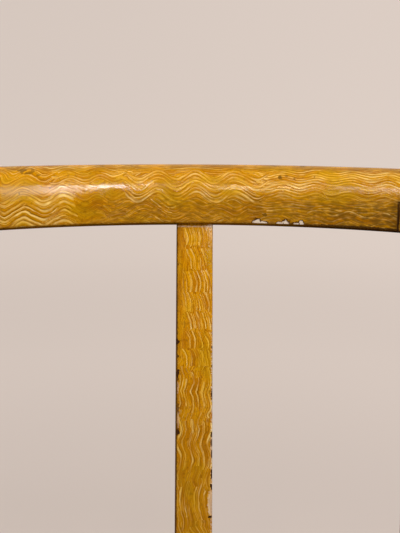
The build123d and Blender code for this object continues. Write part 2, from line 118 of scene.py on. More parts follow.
def rear_point(z):
    x = POST_TOP_X + (CREST_BOTTOM_Z - z) * tan(POST_SPLAY)
    return Vector((x, POST_Y + post_back(z), z))


def front_point(z):
    return Vector((FRONT_X + (RAIL_Z - z) * tan(FRONT_SPLAY), FRONT_Y, z))


def left(point):
    return Vector((-point.x, point.y, point.z))


CREST_AXIS_Y = rear_point(CREST_BOTTOM_Z).y - sqrt(CREST_RADIUS**2 - POST_TOP_X**2)
SLAT_TOP = Vector((0, CREST_AXIS_Y + CREST_RADIUS, CREST_BOTTOM_Z))


# ------------------------------------------------------------------ curves
def smooth_curve(points, count):
    """Points along a natural cubic spline through the given points, measured by its chords."""
    n = len(points)
    step = [hypot(*(b - a for a, b in zip(points[i], points[i + 1]))) for i in range(n - 1)]
    knots = [sum(step[:i]) for i in range(n)]
    axes = []
    for values in zip(*points):
        slope = [(values[i + 1] - values[i]) / step[i] for i in range(n - 1)]
        curve, weight = [0.0], [0.0]
        for i in range(1, n - 1):
            pivot = 2 * (step[i - 1] + step[i]) - step[i - 1] * weight[-1]
            weight.append(step[i] / pivot)
            curve.append((6 * (slope[i] - slope[i - 1]) - step[i - 1] * curve[-1]) / pivot)
        second = [0.0] * n
        for i in range(n - 2, 0, -1):
            second[i] = curve[i] - weight[i] * second[i + 1]
        axes.append((values, second))
    out = []
    for k in range(count):
        at = knots[-1] * k / (count - 1)
        i = max(j for j in range(n - 1) if knots[j] <= at + 1e-12)
        a, b = (knots[i + 1] - at) / step[i], (at - knots[i]) / step[i]
        bend = step[i] ** 2 / 6
        out.append(tuple(
            a * v[i] + b * v[i + 1] + ((a**3 - a) * m[i] + (b**3 - b) * m[i + 1]) * bend
            for v, m in axes
        ))
    return out


def arc_points(start, middle, end, count):
    """Points along the round arc through three points in a plane, without its first point."""
    (ax, ay), (bx, by), (cx, cy) = start, middle, end
    a, b, c = (x**2 + y**2 for x, y in (start, middle, end))
    d = 2 * (ax * (by - cy) + bx * (cy - ay) + cx * (ay - by))
    ux = (a * (by - cy) + b * (cy - ay) + c * (ay - by)) / d
    uy = (a * (cx - bx) + b * (ax - cx) + c * (bx - ax)) / d
    radius = hypot(ax - ux, ay - uy)
    first, mid, last = (atan2(y - uy, x - ux) for x, y in (start, middle, end))
    turn = (last - first) % (2 * pi)
    if (mid - first) % (2 * pi) > turn:
        turn -= 2 * pi
    angles = (first + turn * k / count for k in range(1, count + 1))
    return [(ux + radius * cos(angle), uy + radius * sin(angle)) for angle in angles]


def lengths(points):
    """Distance along a run of points, one for each."""
    out = [0.0]
    for a, b in zip(points, points[1:]):
        out.append(out[-1] + (Vector(b) - Vector(a)).length)
    return out


def girth(section):
    """Distance round a closed section at each of its points, and back at the first."""
    return lengths([*section, section[0]])


def circle(radius, count):
    return [(radius * cos(2 * pi * k / count), radius * sin(2 * pi * k / count)) for k in range(count)]


# ------------------------------------------------------------------ meshes
def add_object(name, data):
    made = bpy.data.objects.new(name, data)
    bpy.context.scene.collection.objects.link(made)
    return made


def new_piece(name, build):
    """A mesh object from a bmesh that build() fills in, its faces all turned outwards."""
    mesh = bpy.data.meshes.new(name)
    shape = bmesh.new()
    shape.loops.layers.uv.new("comb")
    build(shape)
    bmesh.ops.recalc_face_normals(shape, faces=shape.faces)
    shape.to_mesh(mesh)
    shape.free()
    return add_object(name, mesh)


def finish_piece(piece, material, slot, *nodes, smooth=40):
    """Shade, paint, and hand a finished piece to the frame."""
    piece.data.shade_smooth()
    piece.data.set_sharp_from_angle(angle=radians(smooth))
    piece.data.materials.clear()
    piece.data.materials.append(material)
    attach(piece, ROOT)
    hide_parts(*nodes)


def skin(shape, rings, along, around):
    """A closed tube through rings of points, with its UVs in metres: along it, and round its girth."""
    uv = shape.loops.layers.uv["comb"]
    rows = [[shape.verts.new(p) for p in ring] for ring in rings]
    count = len(rows[0])
    for i in range(len(rows) - 1):
        for j in range(count):
            k = (j + 1) % count
            face = shape.faces.new((rows[i][j], rows[i][k], rows[i + 1][k], rows[i + 1][j]))
            places = ((along[i], j), (along[i], j + 1), (along[i + 1], j + 1), (along[i + 1], j))
            for loop, (u, v) in zip(face.loops, places):
                loop[uv].uv = (u, around[v])
    for row, u in ((rows[0], along[0]), (rows[-1], along[-1])):
        middle = sum((v.co for v in row), Vector()) / count
        cap = shape.faces.new(row)
        cap.normal_update()
        side = (row[0].co - middle).normalized()
        across = cap.normal.cross(side)
        for loop in cap.loops:
            spoke = loop.vert.co - middle
            loop[uv].uv = (u + spoke.dot(across), around[0] + spoke.dot(side))


def bake_modifiers(piece):
    """Turn a piece's modifiers into plain mesh."""
    graph = bpy.context.evaluated_depsgraph_get()
    mesh = bpy.data.meshes.new_from_object(piece.evaluated_get(graph), depsgraph=graph)
    piece.modifiers.clear()
    piece.data = mesh


def combine(piece, other, operation):
    """Cut another piece out of this one, or weld it on. The other one is gone afterwards."""
    step = piece.modifiers.new("combine", "BOOLEAN")
    step.operation = operation
    step.solver = "EXACT"
    step.object = other
    bake_modifiers(piece)
    bpy.data.objects.remove(other)


# ------------------------------------------------------------------ node trees
NODES_IN_ROW = 12            # how a tree is laid out in the node editor
NODE_SPACING = 220


class Value:
    """A node's output that plain arithmetic works on: each sign becomes a maths node."""

    def __init__(self, wires, socket):
        self.wires, self.socket = wires, socket

    def __abs__(self):
        return self.wires.math("ABSOLUTE", self)

    def __gt__(self, other):
        return self.wires.math("GREATER_THAN", self, other)

    def __lt__(self, other):
        return self.wires.math("LESS_THAN", self, other)


for sign, name in (("add", "ADD"), ("sub", "SUBTRACT"), ("mul", "MULTIPLY"), ("truediv", "DIVIDE")):
    setattr(Value, f"__{sign}__", lambda a, b, operation=name: a.wires.math(operation, a, b))
    setattr(Value, f"__r{sign}__", lambda a, b, operation=name: a.wires.math(operation, b, a))


class Wires:
    """Adds nodes to one tree and joins them up. A node's inputs are given by name or number, each
    with a value or a plain number."""

    def __init__(self, tree):
        self.tree = tree

    def wire(self, node, takes):
        for name, given in dict(takes).items():
            if isinstance(given, Value):
                self.tree.links.new(given.socket, node.inputs[name])
            else:
                node.inputs[name].default_value = given

    def node(self, kind, takes=(), **settings):
        row, column = divmod(len(self.tree.nodes), NODES_IN_ROW)
        node = self.tree.nodes.new(kind)
        node.location = (NODE_SPACING * column, -NODE_SPACING * row)
        for name, given in settings.items():
            setattr(node, name, given)
        self.wire(node, takes)
        return node

    def value(self, kind, takes=(), output=0, **settings):
        """One output of a new node, by name or number."""
        return Value(self, self.node(kind, takes, **settings).outputs[output])

    def values(self, kind, takes=(), **settings):
        """All the outputs of a new node."""
        return [Value(self, socket) for socket in self.node(kind, takes, **settings).outputs]

    def give(self, **results):
        """Feed the tree's own outputs."""
        self.wire(self.tree.nodes["Group Output"], results)
        return self.tree

    def use(self, tree, **takes):
        """The outputs of a node group, in their order."""
        takes = {label.capitalize(): given for label, given in takes.items()}
        return self.values("ShaderNodeGroup", takes, node_tree=tree)

    def math(self, operation, *values):
        return self.value("ShaderNodeMath", dict(enumerate(values)), operation=operation)

    def most(self, *values):
        return reduce(lambda a, b: self.math("MAXIMUM", a, b), values)

    def step(self, value, low, high, to_low=0.0, to_high=1.0):
        """Eases from to_low to to_high as the value goes from low to high."""
        takes = {"Value": value, "From Min": low, "From Max": high, "To Min": to_low, "To Max": to_high}
        return self.value("ShaderNodeMapRange", takes, interpolation_type="SMOOTHSTEP", clamp=True)

    def window(self, value, low, high, soft):
        """One between low and high, easing to zero outside over a distance."""
        return self.step(value, low - soft, low) * self.step(value, high, high + soft, 1.0, 0.0)

    def point(self, *values):
        return self.value("ShaderNodeCombineXYZ", dict(enumerate(values)))

    def parts(self, place):
        """The x, y and z of a point."""
        return self.values("ShaderNodeSeparateXYZ", {0: place})

    def place(self, output="Object"):
        """The point's own place, or with "Normal" the way that its surface faces."""
        return self.value("ShaderNodeTexCoord", output=output)

    def noise(self, *place, scale=1.0, detail=2.0, roughness=0.5):
        """Soft noise at a place, given as one value or as two or three numbers."""
        at = place[0] if len(place) == 1 else self.point(*place)
        takes = {"Vector": at, "Scale": scale, "Detail": detail, "Roughness": roughness}
        return self.value("ShaderNodeTexNoise", takes)

    def chance(self, *place):
        """A different fixed number from 0 to 1 at each place."""
        return self.value("ShaderNodeTexWhiteNoise", {"Vector": self.point(*place)}, noise_dimensions="3D")

    def mix(self, share, a, b):
        return self.value("ShaderNodeMix", {0: share, 2: a, 3: b}, data_type="FLOAT")

    def blend(self, share, a, b):
        """Mix two colours."""
        a, b = (colour if isinstance(colour, Value) else (*colour, 1.0)[:4] for colour in (a, b))
        return self.value("ShaderNodeMix", {0: share, 6: a, 7: b}, 2, data_type="RGBA")

    def bump(self, height, strength, distance):
        takes = {"Height": height, "Strength": strength, "Distance": distance}
        return self.value("ShaderNodeBump", takes)


def new_tree(name, kind, takes, gives):
    """An empty tree with named inputs and outputs: its wires, then a value for each input. Each
    socket is given by its default number or by its kind."""
    tree = bpy.data.node_groups.new(name, kind)
    numbers = {float: "Float", int: "Int"}
    for way, sockets in (("INPUT", takes), ("OUTPUT", gives)):
        for label, given in sockets.items():
            socket_type = f"NodeSocket{numbers.get(type(given), given)}"
            socket = tree.interface.new_socket(label, in_out=way, socket_type=socket_type)
            if type(given) in numbers:
                socket.default_value = given
    w = Wires(tree)
    w.node("NodeGroupOutput")
    return w, *w.values("NodeGroupInput")[: len(takes)]


def shader_group(name, takes, gives):
    """A shader group whose inputs and outputs are all numbers."""
    zeros = (dict.fromkeys(labels.split(), 0.0) for labels in (takes, gives))
    return new_tree(name, "ShaderNodeTree", *zeros)


def new_material(name):
    """A material, its wires and its main shader."""
    material = bpy.data.materials.new(name)
    material.use_nodes = True
    return material, Wires(material.node_tree), material.node_tree.nodes["Principled BSDF"]


# ------------------------------------------------------------------ comb paint
def comb_field_group():
    """The rows that a comb leaves all over a piece: which tooth mark a point lies on, in whole and
    part teeth, with waves that change slowly along and across. All sizes in millimetres."""
    w, along, across, wave, height, gap, seed = shader_group(
        "Comb field", "Along Across Wave Height Gap Seed", "Row"
    )
    drift = w.noise(along * 0.011, across * 0.03, seed, detail=1.0)
    lift = w.noise(along * 0.014, across * 0.035, seed + 5.0, detail=1.0)
    turn = (drift - 0.5) * 1.7 + along / wave
    flattened = 0.8
    bent = w.math("ARCSINE", w.math("COSINE", turn * (2 * pi)) * flattened) / asin(flattened)
    return w.give(Row=(across - bent * (height * (lift * 1.5 + 0.2))) / gap)


# One placed pull of the comb, in millimetres: where it starts and ends along the piece, how high its
# lowest row lies, its number of teeth, where one wave peaks, the wave, the gap between teeth, how hard
# the comb is pressed, the shape and the slope of the wave, and how raggedly the pull starts and ends.
Stroke = namedtuple(
    "Stroke", "start end low teeth peak wave height gap strength zigzag scallop slope ragged",
    defaults=(1.0, 0.5, 0.0, 0.0, 12.0),
)


def comb_stroke_group():
    """One pull of the comb laid over what is there: it takes the rows and force so far, and gives
    them changed where the pull goes. All sizes in millimetres."""
    (w, along, across, drift, row, force, first, start, end, low, teeth, peak, wave, height, gap, strength,
     zigzag, scallop, slope, ragged) = shader_group(
        "Comb stroke",
        "Along Across Drift Row Force First " + " ".join(Stroke._fields).title(),
        "Row Force",
    )
    reach = along - peak
    turn = (drift - 0.5) * 0.45 + reach / wave
    swing = w.math("COSINE", turn * (2 * pi))
    bent = w.math("ARCSINE", swing * zigzag) / w.math("ARCSINE", zigzag)
    arch = abs(w.math("COSINE", turn * pi)) * 2.0 - 1.0
    line = slope * reach + (w.mix(scallop, bent, arch) * height + low)
    own = (across - line) / gap
    fray = w.chance(w.math("FLOOR", own), first, 2.0) * ragged
    rows = (own > 0.0) * (own < teeth)
    here = rows * ((along > start + fray) * (along < end - fray))
    return w.give(Row=w.mix(here, row, own + first), Force=w.mix(here, force, strength))


def comb_teeth_group():
    """The light line that each tooth scrapes, the dark ridge that it pushes up beside it, and the
    hair lines between."""
    w, along, across, row, force, line = shader_group(
        "Comb teeth", "Along Across Row Force Line", "Light Dark Streak"
    )
    waver = w.noise(along * 0.09, across * 0.12, 3.0)
    row = (waver - 0.5) * 0.9 + row
    tooth = w.math("FLOOR", row)
    within = row - tooth
    luck = w.chance(tooth, 1.7, 0.4)
    fade = w.noise(along * 0.06, tooth * 3.3, 0.0, roughness=0.6)
    middle = luck * 0.30 + 0.28
    width = line * (w.math("FRACT", luck * 7.3) + 0.45) * (force * 0.5 + 0.5)
    light = w.step(abs(within - middle), width * 0.15, width + 0.05, 1.0, 0.0)
    strength = w.step(fade, 0.36, 0.60, 0.10, 1.0) * ((luck * 0.5 + 0.5) * force)
    ridge = abs(within - (width + 0.10 + middle))
    dark = w.step(ridge, 0.03, 0.15, 1.0, 0.0)
    streak = w.noise(along * 0.03, row * 4.2, 2.0, roughness=0.7)
    hair = w.step(streak, 0.55, 0.68) * (force * 0.55 + 0.05)
    return w.give(Light=w.most(light * strength, hair), Dark=dark * strength, Streak=streak)


CREST_STROKES = (
    Stroke(-60, 176, 43, 7, 0, 41, 0.9, 2.4, 0.7),
    Stroke(52, 180, 8, 7, 112, 33, 0.8, 2.4, 0.85),
    Stroke(86, 180, -3, 4, 103, 27.5, 2.0, 3.8, 0.9),
    Stroke(-110, -44, -2, 9, -82, 24, 2.6, 3.6, 0.3, slope=-0.10),
    Stroke(-84, -64, 1, 4, -84, 46, 5.0, 3.0, 0.5),
    Stroke(-66, -18, 3, 5, -42, 40, 4.0, 3.4, 0.38),
    Stroke(-40, -20, 2, 5, -44, 52, 7.0, 3.2, 0.8),
    Stroke(-26, 52, 1, 5, -5, 25.5, 2.6, 3.3, 0.42),
    Stroke(-124, -46, 35, 6, -104, 24, 2.3, 3.2, 0.9),
    Stroke(50, 180, 22, 11, 100.5, 28, 1.5, 2.4, 1.15, zigzag=0.3),
    Stroke(-210, -92, -2, 8, -142, 31.5, 3.8, 4.1, 1.3, zigzag=0.9),
    Stroke(-66, 62, 20, 7, -31, 32.5, 4.3, 3.4, 1.0, zigzag=0.35),
)

SLAT_STROKES = (
    Stroke(-5, 128, -4, 10, 20, 60, 0.8, 4.2, 0.2),
    Stroke(122, 262, -3, 10, 135, 24, 1.3, 3.6, 0.5),
    Stroke(2, 21.5, 6, 7, 12, 25, 1.7, 3.6, scallop=1, slope=0.08, ragged=2.5),
    Stroke(21, 42, 8.5, 5, 31, 26, 0.8, 4.5, 0.85, scallop=1, slope=0.24, ragged=2.5),
    Stroke(41, 61, 6.5, 6, 51, 25, 1.1, 3.8, scallop=1, slope=0.10, ragged=1.5),
    Stroke(60, 77, 5.5, 6, 68, 21, 0.8, 3.9, 0.9, scallop=1, slope=0.18, ragged=2.5),
    Stroke(76, 93, 8.2, 5, 84, 21, 0.8, 4.3, scallop=1, slope=0.20, ragged=2.5),
    Stroke(92.5, 109, 8.5, 5, 101, 20, 1.2, 4.8, scallop=1, slope=0.20, ragged=2.0),
    Stroke(108, 125, 5.5, 5, 116, 20, 1.0, 5.1, scallop=1, slope=0.22, ragged=2.0),
    Stroke(123, 168, 1, 6, 135, 19, 1.2, 5.0, 1.1, scallop=0.7),
    Stroke(161, 219, 0, 6, 174, 27, 1.8, 5.2, 1.1, scallop=0.3),
    Stroke(217, 252, 3, 7, 236, 34, -1.8, 4.2, 1.1, scallop=1),
)


def spot_group():
    """One round mark with a ragged edge: how far a point is inside it, and in the rim round it."""
    w, along, across, ragged, at, level, wide, high = shader_group(
        "Spot", "Along Across Ragged At Level Wide High", "Inside Rim"
    )
    x, y = (along - at) / wide, (across - level) / high
    edge = (ragged - 0.5) * 2.2 + w.math("SQRT", x * x + y * y)
    return w.give(Inside=w.step(edge, 0.85, 1.0, 1.0, 0.0), Rim=w.window(edge, 0.95, 1.32, 0.15))


def spots(w, along, across, ragged, places):
    """Shares inside, and in the rims of, several marks given as (along, level, half width, half
    height, strength) in millimetres."""
    tree = bpy.data.node_groups.get("Spot") or spot_group()
    inside, rim = 0.0, 0.0
    for at, level, wide, high, strength in places:
        mark = w.use(
            tree, along=along, across=across, ragged=ragged, at=at, level=level, wide=wide, high=high
        )
        inside, rim = (w.most(so_far, new * strength) for so_far, new in zip((inside, rim), mark))
    return inside, rim


CREST_CHIPS = (
    (53.0, 0.3, 3.3, 2.9, 1.0), (58.5, 0.0, 3.8, 1.6, 1.0), (77.5, 0.3, 2.5, 3.1, 1.0),
    (72.5, 0.0, 3.4, 1.5, 1.0), (90.5, 0.3, 1.9, 2.9, 1.0), (86.5, 0.0, 2.7, 1.5, 1.0),
)
CREST_STAINS = (
    (59.5, 7.5, 2.0, 1.8, 0.9), (71.0, 40.0, 1.7, 2.0, 0.9), (76.0, 41.5, 1.6, 1.0, 0.6),
    (83.0, 39.0, 1.2, 1.0, 0.6), (99.0, 41.5, 1.0, 1.0, 0.7), (-140.5, 49.0, 4.4, 1.6, 0.8),
    (-136.0, 45.5, 4.0, 1.5, 0.7), (-132.5, 48.5, 1.6, 2.6, 0.6), (-129.0, 43.0, 2.0, 1.0, 0.6),
    (-141.5, 46.5, 1.3, 2.4, 0.6), (36.0, 17.0, 4.5, 3.5, 0.45),
    (55.0, 12.0, 3.5, 4.5, 0.5), (65.0, 54.0, 5.0, 1.6, 0.6), (88.0, 54.0, 3.0, 1.6, 0.8),
    (-121.0, 31.0, 1.2, 1.0, 0.6), (-146.0, 27.0, 0.9, 1.1, 0.7), (48.0, 8.0, 1.2, 1.4, 0.5),
)
SLAT_CHIPS = (
    (102.5, 0.6, 3.0, 1.9, 1.0), (115.0, 1.4, 1.4, 1.0, 0.8), (129.0, 1.6, 3.4, 1.5, 1.0),
    (134.5, 1.4, 1.2, 1.3, 0.8), (158.5, 1.4, 4.5, 1.6, 0.7), (178.5, 1.6, 3.2, 1.7, 1.0),
    (18.0, 0.4, 2.0, 1.2, 0.7), (36.0, 0.4, 2.0, 1.2, 0.7),
    (146.5, 31.2, 5.0, 1.5, 1.0), (181.0, 30.4, 2.4, 1.0, 0.9), (188.0, 30.6, 3.0, 1.4, 0.8),
    (197.0, 30.8, 4.0, 1.1, 0.9), (214.0, 30.8, 5.0, 1.3, 1.0), (224.0, 30.4, 2.4, 1.8, 1.0),
    (249.0, 29.0, 1.3, 1.7, 1.0), (107.0, 31.0, 1.6, 1.2, 0.9), (123.0, 31.2, 2.0, 1.2, 0.8),
)
SLAT_PALE = (
    (238.0, 29.4, 11.0, 2.0, 0.36), (191.0, 30.5, 9.0, 1.0, 0.45), (142.0, 1.4, 5.0, 1.2, 0.22),
    (168.0, 2.0, 8.0, 1.2, 0.18),
)
SLAT_STAINS = ((87.0, 7.0, 3.6, 1.1, 0.4), (226.0, 12.5, 7.0, 2.5, 0.45))
CREST_UNDERSIDE = 115.4      # how far round the crest rail's section its underside begins


def crest_wear(w, along, across):
    """Chips along the front arris, knots and stains, browned edges, and dirt in the joints, with painted
    shade: a darker lower face and right end, and a bottom arris and underside darkened partly by dirt and
    partly as shade.
    """
    fine = w.noise(along * 0.50, across * 0.50, 11.0, detail=3.0, roughness=0.65)
    chips, rims = spots(w, along, across, fine, CREST_CHIPS)
    marks, _ = spots(w, along, across, fine, CREST_STAINS)
    dapple = w.noise(along * 0.14, across * 0.42, 7.0, detail=3.0)
    # Painted shade as well as thick glaze: the lower face, which faces down, is darkened, and more so towards
    # the right end
    thick = w.step(along, -110.0, -60.0, 0.06, 0.30) + w.step(along, 30.0, 170.0, 0.0, 0.17)
    thick = thick * (w.step(across, 34.0, 14.0) * w.step(dapple, 0.34, 0.62, 0.25, 1.85))
    brown = w.most(w.step(across, 9.0, 0.0, 0.0, 0.45), w.window(across, 50.0, 56.0, 5.0))
    broad = w.noise(along * 0.05, across * 0.1, 12.0)
    stain = w.most(marks, thick, brown * 0.45 * w.step(broad, 0.35, 0.6))
    # The dark bottom arris and underside are partly dirt and partly painted shade, since they face down and
    # away from the light, and are darker towards the right
    reach = fine * 2.4 - 1.0 + w.step(along, 40.0, 170.0, 0.0, 0.5)
    rightwards = w.step(along, 35.0, 130.0)
    arris = w.step(across, reach, reach + 1.0, 1.0, 0.0) * (rightwards * 0.72 + 0.28)
    underside = w.step(across, CREST_UNDERSIDE, CREST_UNDERSIDE + 0.6)
    arris = w.most(arris, underside * (rightwards * 0.8 + w.step(fine, 0.4, 0.7, 0.0, 0.25)))
    x, _, z = w.parts(w.place())
    side = abs(x)
    under = w.step(z, NOTCH_TOP_Z - 0.003, NOTCH_TOP_Z + 0.004, 1.0, 0.0)
    seam = w.step(side, NOTCH_X - 0.0014, NOTCH_X - 0.0006)
    upright = w.most(w.step(side, NOTCH_X - 0.009, NOTCH_X, 0.0, 0.5), seam) * under
    level = w.window(z, NOTCH_TOP_Z, NOTCH_TOP_Z + 0.0004, 0.0006) * w.step(side, NOTCH_X - 0.001, NOTCH_X)
    edges = w.most(rims * 0.85, arris * 0.9) * (1.0 - chips)
    grime = w.most(edges, w.most(upright, level) * 0.92)
    return chips, grime, stain, w.most(underside, chips, grime)


def slat_wear(w, along, across):
    """A dirty left arris, a rubbed right one with chips, and a pale line under the rail."""
    fine = w.noise(along * 0.5, across * 0.5, 11.0, roughness=0.6)
    pale, _ = spots(w, along, across, fine, SLAT_PALE)
    marks, _ = spots(w, along, across, fine, SLAT_STAINS)
    chips, _ = spots(w, along, across, fine, SLAT_CHIPS)
    lower = w.step(along, 30.0, 260.0, 0.02, 0.38)
    sides = w.step(across, 6.0, 0.0, 0.0, 0.4) + w.step(across, 27.0, 31.0, 0.0, 0.2)
    stain = w.most(marks, lower, sides)
    reach = fine * 1.5 + w.step(along, 0.0, 90.0, -0.45, 0.2)
    left_line = w.step(across, reach, reach + 0.6, 1.0, 0.0)
    right_line = w.step(across, 32.1 - fine, 32.1, 0.0, 0.7)
    rubbed = w.window(across, 29.9, 31.0, 0.4) * w.step(fine, 0.42, 0.62, 0.0, 0.55)
    rubbed = rubbed * w.step(along, 60.0, 130.0)
    front = w.step(across, 33.0, 34.0, 1.0, 0.0)
    top = w.window(fine * 1.6 + along, 3.6, 4.3, 0.5)
    grime = w.most(w.most(left_line, right_line) * 0.8, chips) * front
    bare = w.most(pale, rubbed, top * w.step(fine, 0.3, 0.6, 0.1, 0.5)) * front
    return bare, grime, stain, w.most(bare, grime)


def near(w, value, *places, reach=0.002):
    """One at any of the given places, easing to zero over a reach."""
    found = 0.0
    for at in places:
        found = w.most(found, w.step(abs(value - at), 0.3 * reach, reach, 1.0, 0.0))
    return found


def everyday_wear(w, along, across, dirt, rub):
    """Dirt and rubbed paint where they are given, with a few chips all over."""
    lumps = w.noise(along * 0.05, across * 0.07, 3.0, detail=5.0, roughness=0.72)
    worn = rub * 0.14 + lumps
    bare = w.step(worn, 0.685, 0.695)
    rims = w.window(worn, 0.66, 0.678, 0.012)
    stain = w.most(rub * 0.45, w.step(lumps, 0.44, 0.30, 0.0, 0.4))
    dirty = w.most(dirt * w.step(lumps, 0.25, 0.5, 0.5, 1.0), rims * 0.6)
    grime = dirty * (1.0 - bare)
    return bare, grime, stain, w.most(bare, grime)


def leg_wear(w, along, across):
    z = w.parts(w.place())[2]
    dirt = near(w, z, *LEG_SEAMS, reach=0.0028)
    return everyday_wear(w, along, across, dirt, near(w, z, *LEG_SWELLS, reach=0.0035) * 0.9)


def post_wear(w, along, across):
    x, _, z = w.parts(w.place())
    high = w.step(z, CREST_BOTTOM_Z - 0.004, CREST_BOTTOM_Z - 0.002)
    seam = w.most(near(w, abs(x), NOTCH_X + HEAD_GAP, reach=0.0016), near(w, z, NOTCH_TOP_Z, reach=0.0016))
    ends = near(w, z, 0.0, CREST_BOTTOM_Z - 0.001, reach=0.004)
    dirt = w.most(ends, seam * high, w.window(z, 0.412, 0.430, 0.018) * 0.35)
    return everyday_wear(w, along, across, dirt, near(w, z, BEND_Z, reach=0.05) * 0.3)


def rung_wear(w, along, across):
    x, y, _ = w.parts(w.place())
    to_end = w.value("ShaderNodeAttribute", output="Fac", attribute_name="to_end")
    dirt = w.step(to_end, 0.017, 0.026, 1.0, 0.0)
    front = w.step(y, -0.19, -0.185, 1.0, 0.0)
    on_top = w.step(w.parts(w.place("Normal"))[2], 0.1, 0.8)
    heels = w.step(abs(x), 0.10, 0.16, 1.0, 0.15) * on_top
    return everyday_wear(w, along, across, dirt, front * heels)


def stay_wear(w, along, across):
    x, _, z = w.parts(w.place())
    foot = near(w, abs(x), SLAT_WIDTH / 2, reach=0.003) * w.step(z, 0.52, 0.525)
    dirt = w.most(w.step(abs(x), 0.168, 0.174), foot)
    on_top = w.step(w.parts(w.place("Normal"))[2], 0.75, 1.0)
    return everyday_wear(w, along, across, dirt, on_top * 0.4)


def comb_material(name, strokes, paint, wear, ghost, breadth):
    """Combed glaze over a cream ground, under old gloss varnish. wear(wires, along, across) gives
    the shares of bare ground, of dark grime, of stain and of lost varnish, where on the crest rail the grime
    and stain also paint shade; ghost is how far the first combing still shows through the later ones, and
    breadth how broad the teeth are."""
    material, w, shader = new_material(name)
    field, stroke, teeth = (bpy.data.node_groups.get(label) or make() for label, make in (
        ("Comb field", comb_field_group),
        ("Comb stroke", comb_stroke_group),
        ("Comb teeth", comb_teeth_group),
    ))
    u, v, _ = w.parts(w.value("ShaderNodeUVMap", uv_map="comb"))
    along, across = u * 1000.0, v * 1000.0
    here = dict(along=along, across=across)
    size = dict(
        wave=paint.wave_length * 1000, height=paint.wave_height * 1000, gap=paint.tooth_gap * 1000, **here
    )
    first, later = (w.use(field, seed=seed, **size)[0] for seed in (1.0, 40.0))
    lane = w.math("FLOOR", later / paint.comb_teeth)
    bout = w.math("FLOOR", w.chance(lane, 0.2, 0.0) * 7.0 + along / 83.0)
    laid = w.chance(lane, bout, 5.0) < paint.second_coat
    row = w.mix(laid, first, later + 500.0)
    force = w.step(w.noise(along * 0.02, across * 0.06, 2.0, detail=1.0), 0.30, 0.62, 0.35, 1.0)
    drift = w.noise(along * 0.012, across * 0.015, 6.0, detail=1.0)
    for number, sizes in enumerate(strokes):
        so_far = dict(row=row, force=force, drift=drift, first=1000.0 + 40.0 * number)
        row, force = w.use(stroke, **here, **so_far, **sizes._asdict())
    line = paint.line_share * breadth
    under_light, under_dark, _ = w.use(teeth, row=first, force=0.55, line=line, **here)
    light, ridge, streak = w.use(teeth, row=row, force=force, line=line, **here)
    seen = w.step(w.noise(along * 0.04, across * 0.09, 9.0, detail=1.0), 0.45, 0.60)
    light = w.most(light, under_light * (seen * ghost))
    hairs = w.step(streak, 0.44, 0.34, 0.0, 0.7)
    dark = w.most(ridge, under_dark * (seen * (0.8 * ghost)), hairs)
    tone = w.noise(along * 0.03, row * 0.5, 1.0, detail=3.0, roughness=0.6)
    tone = (streak - 0.5) * 1.2 + tone
    cloud = w.noise(along * 0.03, across * 0.05, 4.0, detail=3.0)
    glaze = w.blend(w.step(tone, 0.30, 0.72), paint.glaze_brown, paint.glaze_gold)
    glaze = w.blend(w.step(cloud, 0.50, 0.66) * 0.55, glaze, paint.glaze_olive)
    fine = w.noise(along * 0.35, across * 0.35, detail=3.0)
    dark = w.most(dark * w.step(cloud, 0.35, 0.62, 0.85, 0.5), w.step(fine, 0.50, 0.68, 0.0, 0.42))
    glaze = w.blend(dark, glaze, paint.glaze_dark)
    scraped = w.blend(w.step(cloud, 0.40, 0.62), paint.line_cream, paint.line_gold)
    painted = w.blend(light * 0.92, glaze, scraped)
    bare, grime, stain, matt = wear(w, along, across)
    for share, colour in ((stain, paint.stain), (bare, paint.ground_cream), (grime, paint.grime)):
        painted = w.blend(share, painted, colour)
    ripple = w.noise(along * 0.06, across * 0.10, 6.0)
    w.wire(shader, {
        "Base Color": painted,
        "Roughness": fine * 0.2 + 0.34,
        "Specular IOR Level": 0.0,
        "Coat Weight": matt * -0.92 + 1.0,
        "Coat Roughness": 0.10,
        "Coat IOR": 1.45,
        "Coat Normal": w.bump(ripple + (dark - light) * 0.25, 0.30, 0.0006),
    })
    return material


def paint_for(name, wear, strokes=(), ghost=0.7, breadth=1.0):
    paint = bpy.context.scene.comb_paint
    return bpy.data.materials.get(name) or comb_material(name, strokes, paint, wear, ghost, breadth)


# ------------------------------------------------------------------ sizes and colours a user may change
def a_number(label, default, text, low=0.0, **kind):
    return bpy.props.FloatProperty(name=label, description=text, default=default, min=low, **kind)


a_length = partial(a_number, unit="LENGTH")
a_power = partial(a_number, unit="POWER")
a_share = partial(a_number, subtype="FACTOR")


def a_tint(label, default, text):
    return bpy.props.FloatVectorProperty(
        name=label, description=text, default=(*default, 1.0), size=4, subtype="COLOR", min=0.0, max=1.0
    )


